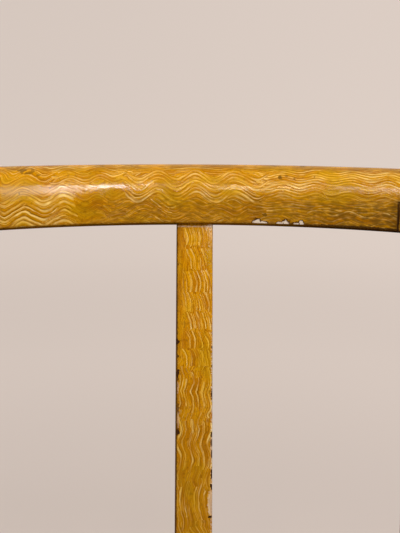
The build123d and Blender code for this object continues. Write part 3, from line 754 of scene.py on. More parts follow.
class CombPaint(bpy.types.PropertyGroup):
    wave_length: a_length("Wave length", 0.034, "From one crest of the combed wave to the next")
    wave_height: a_length("Wave height", 0.0036, "Height of the combed wave over its middle line")
    tooth_gap: a_length("Tooth gap", 0.0036, "From one tooth of the comb to the next")
    comb_teeth: bpy.props.IntProperty(
        name="Comb teeth", description="Teeth of the comb", default=8, min=2, max=30
    )
    second_coat: a_share("Second pulls", 0.45, "Share of the surface that was combed twice", max=1.0)
    line_share: a_share("Line share", 0.24, "Share of the tooth gap that a line takes", 0.05, max=0.9)
    glaze_gold: a_tint("Gold glaze", (0.64, 0.288, 0.0005), "Glaze where it is thin and bright")
    glaze_brown: a_tint("Brown glaze", (0.44, 0.155, 0.0005), "Glaze where it is thick")
    glaze_olive: a_tint("Olive glaze", (0.42, 0.215, 0.002), "Glaze where it has turned green")
    glaze_dark: a_tint("Glaze ridge", (0.17, 0.062, 0.001), "The ridge that a tooth pushes up")
    line_cream: a_tint("Combed line", (0.90, 0.62, 0.19), "Ground that shows through a combed line")
    line_gold: a_tint("Thin line", (0.78, 0.44, 0.03), "A combed line that a film of glaze has run into")
    ground_cream: a_tint("Bare ground", (0.71, 0.59, 0.48), "Ground where the paint has chipped off")
    # Besides real dirt, this tint paints shade along the crest rail's bottom arris and underside
    grime: a_tint("Grime", (0.045, 0.018, 0.006), "Old dirt in the joints and chips")
    # Besides real stains, this tint paints shade on the crest rail's lower face and right end
    stain: a_tint("Stain", (0.16, 0.073, 0.006), "Knots and stains under the varnish")


class RushSeat(bpy.types.PropertyGroup):
    cord: a_length("Cord", 0.005, "Thickness of the twisted rush")
    twist: a_length("Twist", 0.026, "Length of one full turn of the twist")
    unevenness: a_share("Unevenness", 0.10, "How much the cords vary in thickness", max=0.5)
    straw: a_tint("Straw", (0.60, 0.42, 0.17), "Rush that has stayed pale")
    tan: a_tint("Tan", (0.40, 0.235, 0.08), "Rush that has darkened")
    green: a_tint("Green rush", (0.36, 0.31, 0.11), "Rush that was cut green")
    # Besides dark fibres and dirt, this tint paints the shade along the sides of each cord
    shade: a_tint("Shade", (0.12, 0.065, 0.022), "Dark fibres and old dirt between them")


class ChairStage(bpy.types.PropertyGroup):
    backdrop: a_tint("Backdrop", (0.36, 0.305, 0.275), "Floor and backdrop")
    backdrop_shade: a_tint("Backdrop shade", (0.30, 0.25, 0.22), "Faint mottling of the backdrop")
    backdrop_glow: a_tint("Backdrop glow", (0.64, 0.55, 0.495), "Light that the backdrop gives by itself")
    room_pale: a_tint("Pale room", (0.80, 0.74, 0.70), "Light from above and behind the chair")
    room_dark: a_tint("Dark room", (0.030, 0.026, 0.024), "Light from below and in front")
    room_light: a_number("Room light", 1.0, "Strength of the room's own light")
    lens: a_number("Lens", 56.25, "Focal length of the camera", 10, max=300, unit="CAMERA")
    top_power: a_power("Top light", 22.5, "Soft light from above, which the varnish doesn't mirror")
    side_power: a_power("Side light", 8.5, "Low soft light from the right, which it doesn't mirror")
    key_power: a_power("Key light", 6.5, "Small bright light")
    near_power: a_power("Near light", 8.0, "Tall soft light beside the key light")
    broad_power: a_power("Broad light", 5.0, "Large dim light on the right")
    strip_power: a_power("Strip light", 5.0, "Low wide light on the left")
    back_power: a_power("Back light", 34.0, "Soft light from behind, which it doesn't mirror")
    bounce_power: a_power("Bounced light", 3.0, "Faint light from the floor, which it doesn't mirror")
    glint_power: a_power("Glint lights", 4.0, "Two little warm lights for glints")


# ------------------------------------------------------------------ crest rail
CREST_MIDDLE = 0.45 * CREST_SLANT      # how far up its section the rail's middle is
CREST_FACE = 0.013                     # how far in front of the bow's line the painted face lies
CREST_OVER = 96                        # points over the top of the section


def crest_at(back, up):
    """Distance from the bow's axis, and height, of a point on the leaning section."""
    return (
        CREST_RADIUS + back * cos(CREST_LEAN) + up * sin(CREST_LEAN),
        CREST_BOTTOM_Z + up * cos(CREST_LEAN) - back * sin(CREST_LEAN),
    )


def crest_section():
    """The rail's section from its front arris over the top to its back arris, then under."""
    half = CREST_FOOT / 2
    worn = 0.0004
    over = smooth_curve(
        [
            (-half, 0),
            (-CREST_FRONT_BULGE, 0.42 * CREST_SLANT),
            (-0.7 * CREST_FRONT_BULGE, 0.84 * CREST_SLANT),
            (-1 * MM, CREST_SLANT),
            (0.7 * CREST_BACK_BULGE, 0.84 * CREST_SLANT),
            (CREST_BACK_BULGE, 0.42 * CREST_SLANT),
            (half, 0),
        ],
        CREST_OVER,
    )
    over[0] = (-half - 0.2 * worn, worn)
    over[-1] = (half + 0.2 * worn, worn)
    near_arris = 0.3 * worn
    under = [(half - near_arris, near_arris), (half - worn, 0), (0, 0), (worn - half, 0)]
    return over + under + [(near_arris - half, near_arris)]


def bow_point(angle, back, up):
    radius, z = crest_at(back, up)
    return (radius * sin(angle), CREST_AXIS_Y + radius * cos(angle), z)


def sweep_crest(shape, first, last, columns):
    """The rail's section carried round the bow, its ends rounded where they are the rail's own."""
    section = crest_section()
    rings, along = [], []

    def ring(angle, shrink=0.0):
        """One section, drawn in towards its middle."""
        points = []
        for back, up in section:
            keep = 1 - shrink / hypot(back, up - CREST_MIDDLE)
            points.append(bow_point(angle, back * keep, CREST_MIDDLE + (up - CREST_MIDDLE) * keep))
        rings.append(points)
        along.append(angle * (CREST_RADIUS - CREST_FACE))

    rounding = CREST_END_ROUND / CREST_RADIUS
    turns = [pi / 2 * k / 5 for k in range(1, 6)]
    start, stop = first, last
    if first <= -CREST_HALF_ANGLE:
        start += rounding
        for t in reversed(turns):
            ring(first + rounding * (1 - sin(t)), CREST_END_ROUND * (1 - cos(t)))
    if last >= CREST_HALF_ANGLE:
        stop -= rounding
    for k in range(columns + 1):
        ring(start + (stop - start) * k / columns)
    if last >= CREST_HALF_ANGLE:
        for t in turns:
            ring(last - rounding * (1 - sin(t)), CREST_END_ROUND * (1 - cos(t)))
    skin(shape, rings, along, girth(section))


class CHAIR_OT_crest_rail(bpy.types.Operator):
    """Build the bowed crest rail with its two notches for the post heads"""
    bl_idname = "chair.crest_rail"
    bl_label = "Crest Rail"

    def execute(self, context):
        rail = new_piece("crest", lambda s: sweep_crest(s, -CREST_HALF_ANGLE, CREST_HALF_ANGLE, 180))
        beside, below, behind = 0.3, 0.05, 0.4       # well past the rail's end, underside and back
        for side in (-1, 1):
            inner, outer = sorted((side * NOTCH_X, side * beside))
            low = Vector((inner, 0, CREST_BOTTOM_Z - below))
            high = Vector((outer, behind, NOTCH_TOP_Z))
            place = Matrix.Translation((high + low) / 2) @ Matrix.Diagonal((*(high - low), 1.0))
            notch = new_piece("notch", lambda s: bmesh.ops.create_cube(s, size=1.0, matrix=place))
            combine(rail, notch, "DIFFERENCE")
        finish_piece(rail, paint_for("crest paint", crest_wear, CREST_STROKES), "comb_paint", "crest_rail")
        return {"FINISHED"}


# ------------------------------------------------------------------ back slat
class CHAIR_OT_back_slat(bpy.types.Operator):
    """Build the flat upright slat"""
    bl_idname = "chair.back_slat"
    bl_label = "Back Slat"

    def execute(self, context):
        down = Vector((0, -sin(SLAT_LEAN), -cos(SLAT_LEAN)))
        back = Vector((0, cos(SLAT_LEAN), -sin(SLAT_LEAN)))
        half, deep, arris = SLAT_WIDTH / 2, SLAT_THICKNESS / 2, 0.0008
        worn = 0.3 * arris
        section = []
        for sx, sy in ((-1, -1), (1, -1), (1, 1), (-1, 1)):
            x, y = sx * half, sy * deep
            trio = [(x, y - sy * arris), (x - sx * worn, y - sy * worn), (x - sx * arris, y)]
            section += trio if sx * sy > 0 else trio[::-1]
        top = -0.003             # inside the crest rail
        bottom = (CREST_BOTTOM_Z - STAY_Z - STAY_HEIGHT / 2 + 0.004) / cos(SLAT_LEAN)
        steps = 60
        along = [top + (bottom - top) * k / steps for k in range(steps + 1)]
        rings = [[SLAT_TOP + down * s + Vector((x, 0, 0)) + back * y for x, y in section] for s in along]
        around = [g - arris for g in girth(section)]
        slat = new_piece("slat", lambda s: skin(s, rings, along, around))
        paint = paint_for("slat paint", slat_wear, SLAT_STROKES, ghost=0.2, breadth=0.62)
        finish_piece(slat, paint, "comb_paint", "back_slat", smooth=30)
        return {"FINISHED"}


# ------------------------------------------------------------------ turned and bent round pieces
def skin_turned(shape, outline, start, end, count, offset):
    """A piece turned to a half outline in (distance along, radius). offset is where its comb pattern
    starts, so that no two pieces match."""
    direction = (end - start).normalized()
    side = direction.cross(UP)
    side = Vector((1, 0, 0)) if side.length < 0.1 else side.normalized()
    side = (side - direction * side.dot(direction)).normalized()
    other = direction.cross(side)
    rings = [
        [start + direction * at + side * x + other * y for x, y in circle(radius, count)]
        for at, radius in outline
    ]
    mean = sum(radius for _, radius in outline) / len(outline)
    around = [2 * pi * mean * k / count for k in range(count + 1)]
    skin(shape, rings, [offset + a for a in lengths(outline)], around)


LEG_SEAMS = (0.0, 0.027, 0.035, 0.345, 0.355, 0.374)     # heights of the leg's foot and grooves
LEG_SWELLS = (0.031, 0.350, 0.013)                       # heights of its beads and its ball
POST_PATTERN, LEG_PATTERN, RUNG_PATTERN, STAY_PATTERN = 1.0, 2.0, 3.0, 6.0      # where their combing starts


def front_leg_outline():
    """Ball foot, ankle, bead, long taper, bead, cove and plain top with a low dome, in millimetres."""
    foot, ball, ankle = 10.5, 14.5, 10.8
    shaft_low, shaft_high, cove = 11.8, 17.3, 15.4
    top, dome, high = 19.0, 8.0, 447.0
    edge = 1.2
    points = [(0, foot - edge), (edge * 0.3, foot - edge * 0.3), (edge, foot), (2, foot)]
    points += arc_points((2, foot), (13, ball), (27, ankle), 16)
    points += arc_points((27, ankle), (31, ankle + 3), (35, ankle), 10)
    points += smooth_curve([(38, shaft_low), (170, 15.6), (345, shaft_high)], 30)
    points += arc_points((345, shaft_high), (350, shaft_high + 4), (355, shaft_high), 12)
    points += arc_points((355, shaft_high), (364, cove), (373, shaft_high), 12)
    shoulder = high - dome
    points += [(375, top - 0.4), (375.8, top), (404, top), (shoulder - 1, top), (shoulder - 0.2, top - 0.3)]
    crown = (top**2 + dome**2) / (2 * dome)
    rims = (18, 16, 13.5, 11, 8.5, 6, 4, 2, 0.4)
    points += [(high - crown + sqrt(crown**2 - r**2), r) for r in rims]
    return [(at * MM, radius * MM) for at, radius in points]


def plain_rung_outline(span):
    """Parallel in its sockets and thickest in the middle."""
    seat, end_radius, middle = 0.022, 0.0075, 0.0105
    steps = 44
    swell = [(seat + (span - 2 * seat) * k / steps, k / steps) for k in range(1, steps)]
    tip = [(0.001, end_radius - 0.001), (0.002, end_radius), (seat, end_radius)]
    body = [(at, end_radius + (middle - end_radius) * sin(pi * share)) for at, share in swell]
    return tip + body + [(span - at, radius) for at, radius in reversed(tip)]


def fancy_rung_outline(span):
    """Two long swells with a bead at each inner end and a ball between them."""
    half = span * 500
    seat, end_radius, swell, neck, bead, ball = 22, 7.5, 12.5, 8.6, 12, 15
    socket, thick, slim = seat - half, -95, 11.0
    knots = [(socket, end_radius), ((socket + thick) / 2, slim), (thick, swell), (-66, slim), (-40, neck)]
    points = [(1 - half, end_radius - 1), (2 - half, end_radius)] + smooth_curve(knots, 30)
    points += arc_points((-40, neck), (-35, bead), (-30, neck), 12) + [(-25, neck)]
    mirrored = [(-at, radius) for at, radius in reversed(points)]
    points += [(-20, neck)] + arc_points((-20, neck), (0, ball), (20, neck), 24) + mirrored
    return [(half * MM + at * MM, radius * MM) for at, radius in points]


def post_radius(z):
    rise = (z - BEND_Z) / (CREST_BOTTOM_Z - BEND_Z)
    return POST_TOP_RADIUS + (POST_BEND_RADIUS - POST_TOP_RADIUS) * (1 - rise) ** POST_TAPER


def splayed(point, side):
    """Carry a point of a post built in the chair's middle plane out to its side."""
    turn = Matrix.Rotation(-POST_SPLAY, 3, "Y")
    pivot = Vector((0, 0, CREST_BOTTOM_Z))
    out = turn @ (point - pivot) + pivot + Vector((POST_TOP_X, 0, 0))
    return Vector((side * out.x, out.y, max(out.z, 0.0)))


def sweep_post(shape, side, offset):
    """A rear post from the floor to just inside its head: a slow swell up to the seat, then the bend."""
    count = 48
    rings, spine = [], []

    def ring(centre, direction, radius):
        back = direction.cross(Vector((1, 0, 0))).normalized()
        points = (centre + Vector((x, 0, 0)) + back * y for x, y in circle(radius, count))
        rings.append([splayed(point, side) for point in points])
        spine.append(centre)

    straight = Vector((0, -sin(POST_RAKE), cos(POST_RAKE)))
    span = BEND_Z / cos(POST_RAKE)
    low = Vector((0, POST_Y, BEND_Z)) - straight * span
    swell = [
        (0.0, POST_FOOT_RADIUS),
        (0.36 * span, 0.92 * POST_SEAT_RADIUS),
        (0.88 * span, POST_SEAT_RADIUS),
        (span, POST_BEND_RADIUS),
    ]
    worn_foot = [(0.0, POST_FOOT_RADIUS - 0.0012), (0.0006, POST_FOOT_RADIUS - 0.0003)]
    for at, radius in worn_foot + smooth_curve(swell, 40)[1:]:
        ring(low + straight * at, straight, radius)
    steps = 44
    for k in range(1, steps + 1):
        z = BEND_Z + (CREST_BOTTOM_Z - BEND_Z) * k / steps
        angle = post_angle(z)
        ring(Vector((0, POST_Y + post_back(z), z)), Vector((0, sin(angle), cos(angle))), post_radius(z))
    upwards = Vector((0, sin(POST_LEAN), cos(POST_LEAN)))
    ring(spine[-1] + upwards * 0.010, upwards, POST_TOP_RADIUS)
    around = [2 * pi * 0.015 * k / count for k in range(count + 1)]
    skin(shape, rings, [offset + a for a in lengths(spine)], around)


def shape_head(shape, side):
    """The post's head: the end of the crest rail's bow, cut off level above and upright inside."""
    inner = NOTCH_X + HEAD_GAP
    first = asin(inner / (CREST_RADIUS + 0.03)) - 0.02
    sweep_crest(shape, *sorted((side * first, side * CREST_HALF_ANGLE)), 40)
    cuts = (
        (Vector((side * inner, 0, 0)), Vector((-side, 0, 0))),
        (Vector((0, 0, NOTCH_TOP_Z - HEAD_GAP)), UP),
    )
    uv = shape.loops.layers.uv["comb"]
    for point, outward in cuts:
        whole = shape.verts[:] + shape.edges[:] + shape.faces[:]
        cut = bmesh.ops.bisect_plane(shape, geom=whole, plane_co=point, plane_no=outward, clear_outer=True)
        rim = [e for e in cut["geom_cut"] if isinstance(e, bmesh.types.BMEdge)]
        for face in bmesh.ops.contextual_create(shape, geom=rim)["faces"]:
            for loop in face.loops:
                beside = next(l for l in loop.vert.link_loops if l.face is not face)
                loop[uv].uv = beside[uv].uv


class CHAIR_OT_rear_posts(bpy.types.Operator):
    """Build the two bent rear posts with the heads that fill the crest rail's notches"""
    bl_idname = "chair.rear_posts"
    bl_label = "Rear Posts"

    def execute(self, context):
        for name, side in (("right", 1), ("left", -1)):
            post = new_piece(f"post_{name}", lambda s: sweep_post(s, side, POST_PATTERN + 0.3 * side))
            combine(post, new_piece("head", lambda s: shape_head(s, side)), "UNION")
            finish_piece(post, paint_for("post paint", post_wear), "comb_paint", f"rear_post_{name}")
        return {"FINISHED"}


class CHAIR_OT_front_legs(bpy.types.Operator):
    """Turn the two front legs"""
    bl_idname = "chair.front_legs"
    bl_label = "Front Legs"

    def execute(self, context):
        outline = front_leg_outline()
        ends = [front_point(0.0), front_point(FRONT_TOP_Z)]
        for name, (foot, top), shift in (("right", ends, 0.4), ("left", map(left, ends), -0.4)):
            pattern = LEG_PATTERN + shift
            leg = new_piece(f"leg_{name}", lambda s: skin_turned(s, outline, foot, top, 64, pattern))
            for vertex in leg.data.vertices:
                vertex.co.z = max(vertex.co.z, 0.0)
            finish_piece(leg, paint_for("leg paint", leg_wear), "comb_paint", f"front_leg_{name}")
        return {"FINISHED"}


def mark_ends(piece, start, end):
    """Store how far each point is from the nearer of a rung's ends, for the dirt in its sockets."""
    marks = piece.data.attributes.new("to_end", "FLOAT", "POINT")
    for vertex, mark in zip(piece.data.vertices, marks.data):
        mark.value = min((vertex.co - start).length, (vertex.co - end).length)


class CHAIR_OT_rungs(bpy.types.Operator):
    """Turn the rungs between the legs"""
    bl_idname = "chair.rungs"
    bl_label = "Rungs"

    def execute(self, context):
        rungs = []
        for node, z in CROSS_RUNGS:
            corner = rear_point(z) if node.startswith("back") else front_point(z)
            rungs.append((node, left(corner), corner))
        for level, z in SIDE_RUNGS:
            start, end = front_point(z), rear_point(z)
            rungs.append((f"side_stretcher_{level}_right", start, end))
            rungs.append((f"side_stretcher_{level}_left", left(start), left(end)))
        for number, (node, start, end) in enumerate(rungs):
            shape_of = fancy_rung_outline if node == "front_stretcher_upper" else plain_rung_outline
            outline = shape_of((end - start).length)
            name = node.replace("stretcher", "rung")
            pattern = RUNG_PATTERN + 0.7 * number
            rung = new_piece(name, lambda s: skin_turned(s, outline, start, end, 40, pattern))
            mark_ends(rung, start, end)
            finish_piece(rung, paint_for("rung paint", rung_wear), "comb_paint", node)
        return {"FINISHED"}


def rounded_bar(width, height, corner, steps):
    """A rectangle with round corners, as a closed section, from its right end up and round."""
    points = []
    for x, y, first in ((1, 1, 0), (-1, 1, 90), (-1, -1, 180), (1, -1, 270)):
        for k in range(steps + 1):
            angle = radians(first + 90 * k / steps)
            across = x * (width / 2 - corner) + corner * cos(angle)
            points.append((across, y * (height / 2 - corner) + corner * sin(angle)))
    return points


class CHAIR_OT_stay_rail(bpy.types.Operator):
    """Build the flat oval rail under the slat"""
    bl_idname = "chair.stay_rail"
    bl_label = "Stay Rail"

    def execute(self, context):
        y = SLAT_TOP.y - (CREST_BOTTOM_Z - STAY_Z - STAY_HEIGHT / 4) * tan(SLAT_LEAN)
        reach = rear_point(STAY_Z).x - post_radius(STAY_Z) + 0.004
        section = rounded_bar(STAY_THICKNESS, STAY_HEIGHT, 0.42 * STAY_THICKNESS, 8)
        steps = 60
        places = [reach * (2 * k / steps - 1) for k in range(steps + 1)]
        rings = [[(x, y + back, STAY_Z + up) for back, up in section] for x in places]
        along = [STAY_PATTERN + x for x in places]
        rail = new_piece("stay", lambda s: skin(s, rings, along, girth(section)))
        finish_piece(rail, paint_for("stay paint", stay_wear), "comb_paint", "stay_rail")
        return {"FINISHED"}


# ------------------------------------------------------------------ rush seat
SEAT_CORNERS = [left(front_point(RAIL_Z)), front_point(RAIL_Z), rear_point(RAIL_Z), left(rear_point(RAIL_Z))]
SEAT_MIDDLE_DEPTH = (rear_point(RAIL_Z).y - FRONT_Y) / 2
CORD_PACKING = 0.98          # the cords are pressed together a little
CORD_ROOM = 0.0005           # between the outer cords and the posts


def seat_seam_ends():
    """The two points in the seat's middle where the mitre seams from the corners meet."""
    front, rear = front_point(RAIL_Z), rear_point(RAIL_Z)
    half_corner = (rear - front).angle(left(front) - front) / 2
    x = front.x - SEAT_MIDDLE_DEPTH / tan(half_corner)
    y = front.y + SEAT_MIDDLE_DEPTH
    return Vector((-x, y, RAIL_Z)), Vector((x, y, RAIL_Z))


def seam_depth(at, span, inner, start, end):
    """How far in from its rail a cord at a place along the rail meets its panel's seam."""
    along = (end - start).normalized()
    inward = UP.cross(along)
    corners = [((p - start).dot(along), (p - start).dot(inward)) for p in inner]
    corners = [(0.0, 0.0), *corners, (span, 0.0)]
    for (x0, d0), (x1, d1) in zip(corners, corners[1:]):
        if x0 <= at <= x1:
            return d0 + (d1 - d0) * (at - x0) / max(x1 - x0, 1e-9)
    return 0.0


def cord_path(point, inward, depth, out, high, low):
    """One turn of cord: in at the seam from below, out under the seat, round the rail and back over it."""
    def at(distance, z):
        return point + inward * distance + UP * z

    slope = (high - low) / SEAT_MIDDLE_DEPTH
    reach = [d for d in (0.010, 0.35 * depth, 0.7 * depth, depth - 0.004) if d <= depth - 0.003]
    under = [at(depth, -0.001)] + [at(d, -(high - slope * d)) for d in reversed(reach)]
    turns = [at(-out * cos(a), high * sin(a)) for a in (radians(-75 + 30 * k) for k in range(6))]
    over = [at(d, high - slope * d) for d in reach] + [at(depth, 0.001)]
    return under + turns + over


def guide_lines(start, end, inner, first, last, cord):
    """The lines that a panel's cords follow, from first to last along its rail."""
    high = SEAT_HEIGHT - RAIL_Z - cord / 2
    out = RAIL_THICKNESS / 2 + cord / 2
    along = (end - start).normalized()
    turns = round((last - first) / (cord * CORD_PACKING))
    lines = bpy.data.meshes.new("guides")
    shape = bmesh.new()
    for k in range(turns + 1):
        at = first + (last - first) * k / turns
        depth = seam_depth(at, (end - start).length, inner, start, end)
        path = cord_path(start + along * at, UP.cross(along), depth, out, high, high - SEAT_SAG)
        spots = [shape.verts.new(p) for p in path]
        for a, b in zip(spots, spots[1:]):
            shape.edges.new((a, b))
    shape.to_mesh(lines)
    shape.free()
    return lines


def rush_tree():
    """Twist each guide line into a cord of rush."""
    w, guides, thickness, twist, step, unevenness, seed, material = new_tree(
        "Rush cords", "GeometryNodeTree",
        {
            "Geometry": "Geometry", "Thickness": 0.005, "Twist": 0.026, "Step": 0.004,
            "Unevenness": 0.10, "Seed": 7, "Material": "Material",
        },
        {"Geometry": "Geometry"},
    )

    def store(geometry, name, value):
        takes = {"Geometry": geometry, "Name": name, "Value": value}
        return w.value("GeometryNodeStoreNamedAttribute", takes, data_type="FLOAT", domain="POINT")

    lines = w.value("GeometryNodeMeshToCurve", {"Mesh": guides})
    soft = w.value("GeometryNodeCurveSplineType", {"Curve": lines}, spline_type="CATMULL_ROM")
    even = w.value("GeometryNodeResampleCurve", {"Curve": soft, "Length": step}, mode="LENGTH")
    run = w.value("GeometryNodeSplineParameter", output="Length")
    share = w.value("GeometryNodeSplineParameter", output="Factor")
    index = w.value("GeometryNodeInputIndex")
    cord = w.value("GeometryNodeFieldOnDomain", {"Value": index}, domain="CURVE", data_type="INT")
    takes = {2: 0.0, 3: 2 * pi, "ID": cord, "Seed": seed}
    start = w.value("FunctionNodeRandomValue", takes, 1, data_type="FLOAT")
    turned = w.value("GeometryNodeSetCurveTilt", {"Curve": even, "Tilt": run / twist * (2 * pi) + start})
    lumps = w.value("ShaderNodeTexNoise", {"Scale": 55.0, "Detail": 1.0})
    half = thickness * 0.5 * ((lumps - 0.5) * (unevenness * 2.0) + 1.0)
    ring = w.value("GeometryNodeCurvePrimitiveCircle", {"Resolution": 12, "Radius": 1.0}, mode="RADIUS")
    spot = w.value("GeometryNodeInputPosition")
    waist = w.math("POWER", abs(w.parts(spot)[0]), 1.5) * 0.24 + 0.80
    scaled = w.value("ShaderNodeVectorMath", {0: spot, "Scale": waist}, operation="SCALE")
    lobed = w.value("GeometryNodeSetPosition", {"Geometry": ring, "Position": scaled})
    cords = store(store(turned, "along", run), "cord", start)
    takes = {"Curve": cords, "Profile Curve": store(lobed, "around", share), "Scale": half, "Fill Caps": True}
    tube = w.value("GeometryNodeCurveToMesh", takes)
    smooth = w.value("GeometryNodeSetShadeSmooth", {"Geometry": tube, "Shade Smooth": True})
    real = w.value("GeometryNodeRealizeInstances", {"Geometry": smooth})
    painted = w.value("GeometryNodeSetMaterial", {"Geometry": real, "Material": material})
    return w.give(Geometry=painted)


def run_tree(piece, tree, values):
    """Run a Geometry Nodes tree on a piece and keep the plain mesh that it gives."""
    modifier = piece.modifiers.new(tree.name, "NODES")
    modifier.node_group = tree
    for item in tree.interface.items_tree:
        if item.in_out == "INPUT" and item.name in values:
            modifier[item.identifier] = values[item.name]
    bake_modifiers(piece)


def rush_material(rush):
    material, w, shader = new_material("twisted rush")
    marks = ("along", "around", "cord")
    along, around, cord = (w.value("ShaderNodeAttribute", output="Fac", attribute_name=m) for m in marks)
    fibre = w.noise(along * 45.0, around * 11.0, cord, detail=4.0, roughness=0.7)
    luck = w.math("FRACT", cord * 7.7)
    leaf = w.noise(along * 9.0, around * 2.0, cord * 3.0)
    x, y, _ = w.parts(w.place())
    worn = w.noise(x * 9.0, y * 9.0, 2.0, detail=3.0)
    waist = abs(w.math("SINE", around * (2 * pi)))
    tone = w.blend(w.step(luck * 0.45 + leaf * 0.55, 0.32, 0.68), rush.straw, rush.tan)
    for share, colour in (
        (w.step(luck * -0.3 + leaf, 0.30, 0.50, 0.0, 0.5), rush.green),
        (w.step(worn, 0.45, 0.70, 0.0, 0.45), rush.tan),
        (w.step(fibre, 0.50, 0.74, 0.0, 0.75), rush.shade),
        # Painted shade: each cord is darkened along its sides, where it meets its neighbours
        (w.step(waist, 0.55, 1.0, 0.0, 0.45), rush.shade),
    ):
        tone = w.blend(share, tone, colour)
    w.wire(shader, {"Base Color": tone, "Roughness": 0.62, "Normal": w.bump(fibre, 0.5, 0.0005)})
    return material


class CHAIR_OT_rush_seat(bpy.types.Operator):
    """Wind the rush seat, panel by panel, over its four rails"""
    bl_idname = "chair.rush_seat"
    bl_label = "Rush Seat"

    def execute(self, context):
        rush = context.scene.rush_seat
        tree, material = rush_tree(), rush_material(rush)
        left_seam, right_seam = seat_seam_ends()
        front_left, front_right, rear_right, rear_left = SEAT_CORNERS
        panels = {
            "front": (front_left, front_right, [left_seam, right_seam], FRONT_TOP_RADIUS, FRONT_TOP_RADIUS),
            "right": (front_right, rear_right, [right_seam], FRONT_TOP_RADIUS, POST_SEAT_RADIUS),
            "back": (rear_right, rear_left, [right_seam, left_seam], POST_SEAT_RADIUS, POST_SEAT_RADIUS),
            "left": (rear_left, front_left, [left_seam], POST_SEAT_RADIUS, FRONT_TOP_RADIUS),
        }
        room = rush.cord / 2 + CORD_ROOM
        for number, (name, (start, end, inner, first_post, last_post)) in enumerate(panels.items()):
            first, last = first_post + room, (end - start).length - last_post - room
            panel = add_object(f"rush_{name}", guide_lines(start, end, inner, first, last, rush.cord))
            run_tree(panel, tree, {
                "Thickness": rush.cord, "Twist": rush.twist, "Unevenness": rush.unevenness,
                "Seed": 7 + number, "Material": material,
            })
            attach(panel, ROOT)
        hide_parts("rush_seat")
        return {"FINISHED"}


# ------------------------------------------------------------------ bare wood, straw and pegs
def wood_material(name, light, dark, rings=90.0):
    """Plain wood with its grain read from the piece's own place."""
    material, w, shader = new_material(name)
    grain = w.noise(w.place(), scale=rings, detail=5.0, roughness=0.7)
    broad = w.noise(w.place(), scale=rings / 5)
    w.wire(shader, {
        "Base Color": w.blend(grain * 0.7 + broad * 0.4, light, dark),
        "Roughness": grain * 0.2 + 0.5,
        "Normal": w.bump(grain, 0.3, 0.0004),
    })
    return material


def crest_back(z):
    """Distance from the bow's axis to the crest rail's back face at a height."""
    backs = [crest_at(back, up) for back, up in crest_section()[CREST_OVER // 2 : CREST_OVER]]
    return min(backs, key=lambda spot: abs(spot[1] - z))[0]


def frame_peg_end(node, z):
    """How far back the frame's own peg at a height reaches."""
    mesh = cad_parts[node].data
    return max(v.co.y for v in mesh.vertices if abs(v.co.z - z) < 0.004)


def peg_tree():
    """Drive a round-headed peg in at each point, against the direction stored there."""
    w, points, radius, length, material = new_tree(
        "Pegs", "GeometryNodeTree",
        {"Geometry": "Geometry", "Radius": PEG_RADIUS, "Length": 0.018, "Material": "Material"},
        {"Geometry": "Geometry"},
    )
    line = w.value("GeometryNodeCurvePrimitiveLine", {"End": w.point(0.0, 0.0, length * -1.0)})
    even = w.value("GeometryNodeResampleCurve", {"Curve": line, "Count": 60}, mode="COUNT")
    depth = w.value("GeometryNodeSplineParameter", output="Length")
    thick = radius * w.step(depth, -0.0012, 0.0009)
    profile = w.value("GeometryNodeCurvePrimitiveCircle", {"Resolution": 14, "Radius": 1.0}, mode="RADIUS")
    takes = {"Curve": even, "Profile Curve": profile, "Scale": thick, "Fill Caps": True}
    peg = w.value("GeometryNodeCurveToMesh", takes)
    outward = w.value("GeometryNodeInputNamedAttribute", {"Name": "outward"}, data_type="FLOAT_VECTOR")
    turn = w.value("FunctionNodeAlignRotationToVector", {"Vector": outward}, axis="Z")
    takes = {"Points": points, "Instance": peg, "Rotation": turn}
    real = w.value("GeometryNodeRealizeInstances", {0: w.value("GeometryNodeInstanceOnPoints", takes)})
    painted = w.value("GeometryNodeSetMaterial", {"Geometry": real, "Material": material})
    return w.give(Geometry=painted)


class CHAIR_OT_pegs(bpy.types.Operator):
    """Drive the pegs that hold the crest rail, the slat and the stay rail"""
    bl_idname = "chair.pegs"
    bl_label = "Pegs"

    def execute(self, context):
        tree = peg_tree()
        wood = wood_material("peg wood", (0.34, 0.17, 0.05), (0.14, 0.06, 0.02), 400.0)
        high, top_z, low_z = NOTCH_TOP_Z + 0.008, CREST_BOTTOM_Z + 0.009, STAY_Z + 0.009
        bow = Vector((0, CREST_AXIS_Y, high))
        turn = asin(0.180 / CREST_RADIUS)
        around = Vector((sin(turn), cos(turn), 0))
        out = crest_back(high) + PEG_PROUD
        back = Vector((0, 1, 0))
        stay_peg = Vector((STAY_PEG_X, frame_peg_end("stay_rail_pegs", STAY_Z), STAY_Z))
        sets = {
            "crest_pegs": (PEG_RADIUS, 0.0215, [
                (bow + around * out, around),
                (bow + left(around) * out, left(around)),
            ]),
            "slat_pegs": (PEG_RADIUS, 0.0119, [
                (Vector((0, CREST_AXIS_Y + crest_back(top_z) + PEG_PROUD, top_z)), back),
                (Vector((0, frame_peg_end("slat_pegs", low_z), low_z)), back),
            ]),
            "stay_rail_pegs": (STAY_PEG_RADIUS, 0.021, [(stay_peg, back), (left(stay_peg), back)]),
        }
        for node, (radius, deep, places) in sets.items():
            points = bpy.data.meshes.new(node)
            points.from_pydata([place for place, _ in places], [], [])
            store = points.attributes.new("outward", "FLOAT_VECTOR", "POINT")
            for item, (_, outward) in zip(store.data, places):
                item.vector = outward
            pegs = add_object(node.replace("_pegs", "_peg_pair"), points)
            run_tree(pegs, tree, {"Radius": radius, "Length": deep, "Material": wood})
            finish_piece(pegs, wood, "peg_wood", node)
        return {"FINISHED"}


def dress(nodes, material):
    """Give CAD nodes that stay a finish of their own."""
    for name in nodes:
        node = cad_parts[name]
        node.data.materials.clear()
        node.data.materials.append(material)


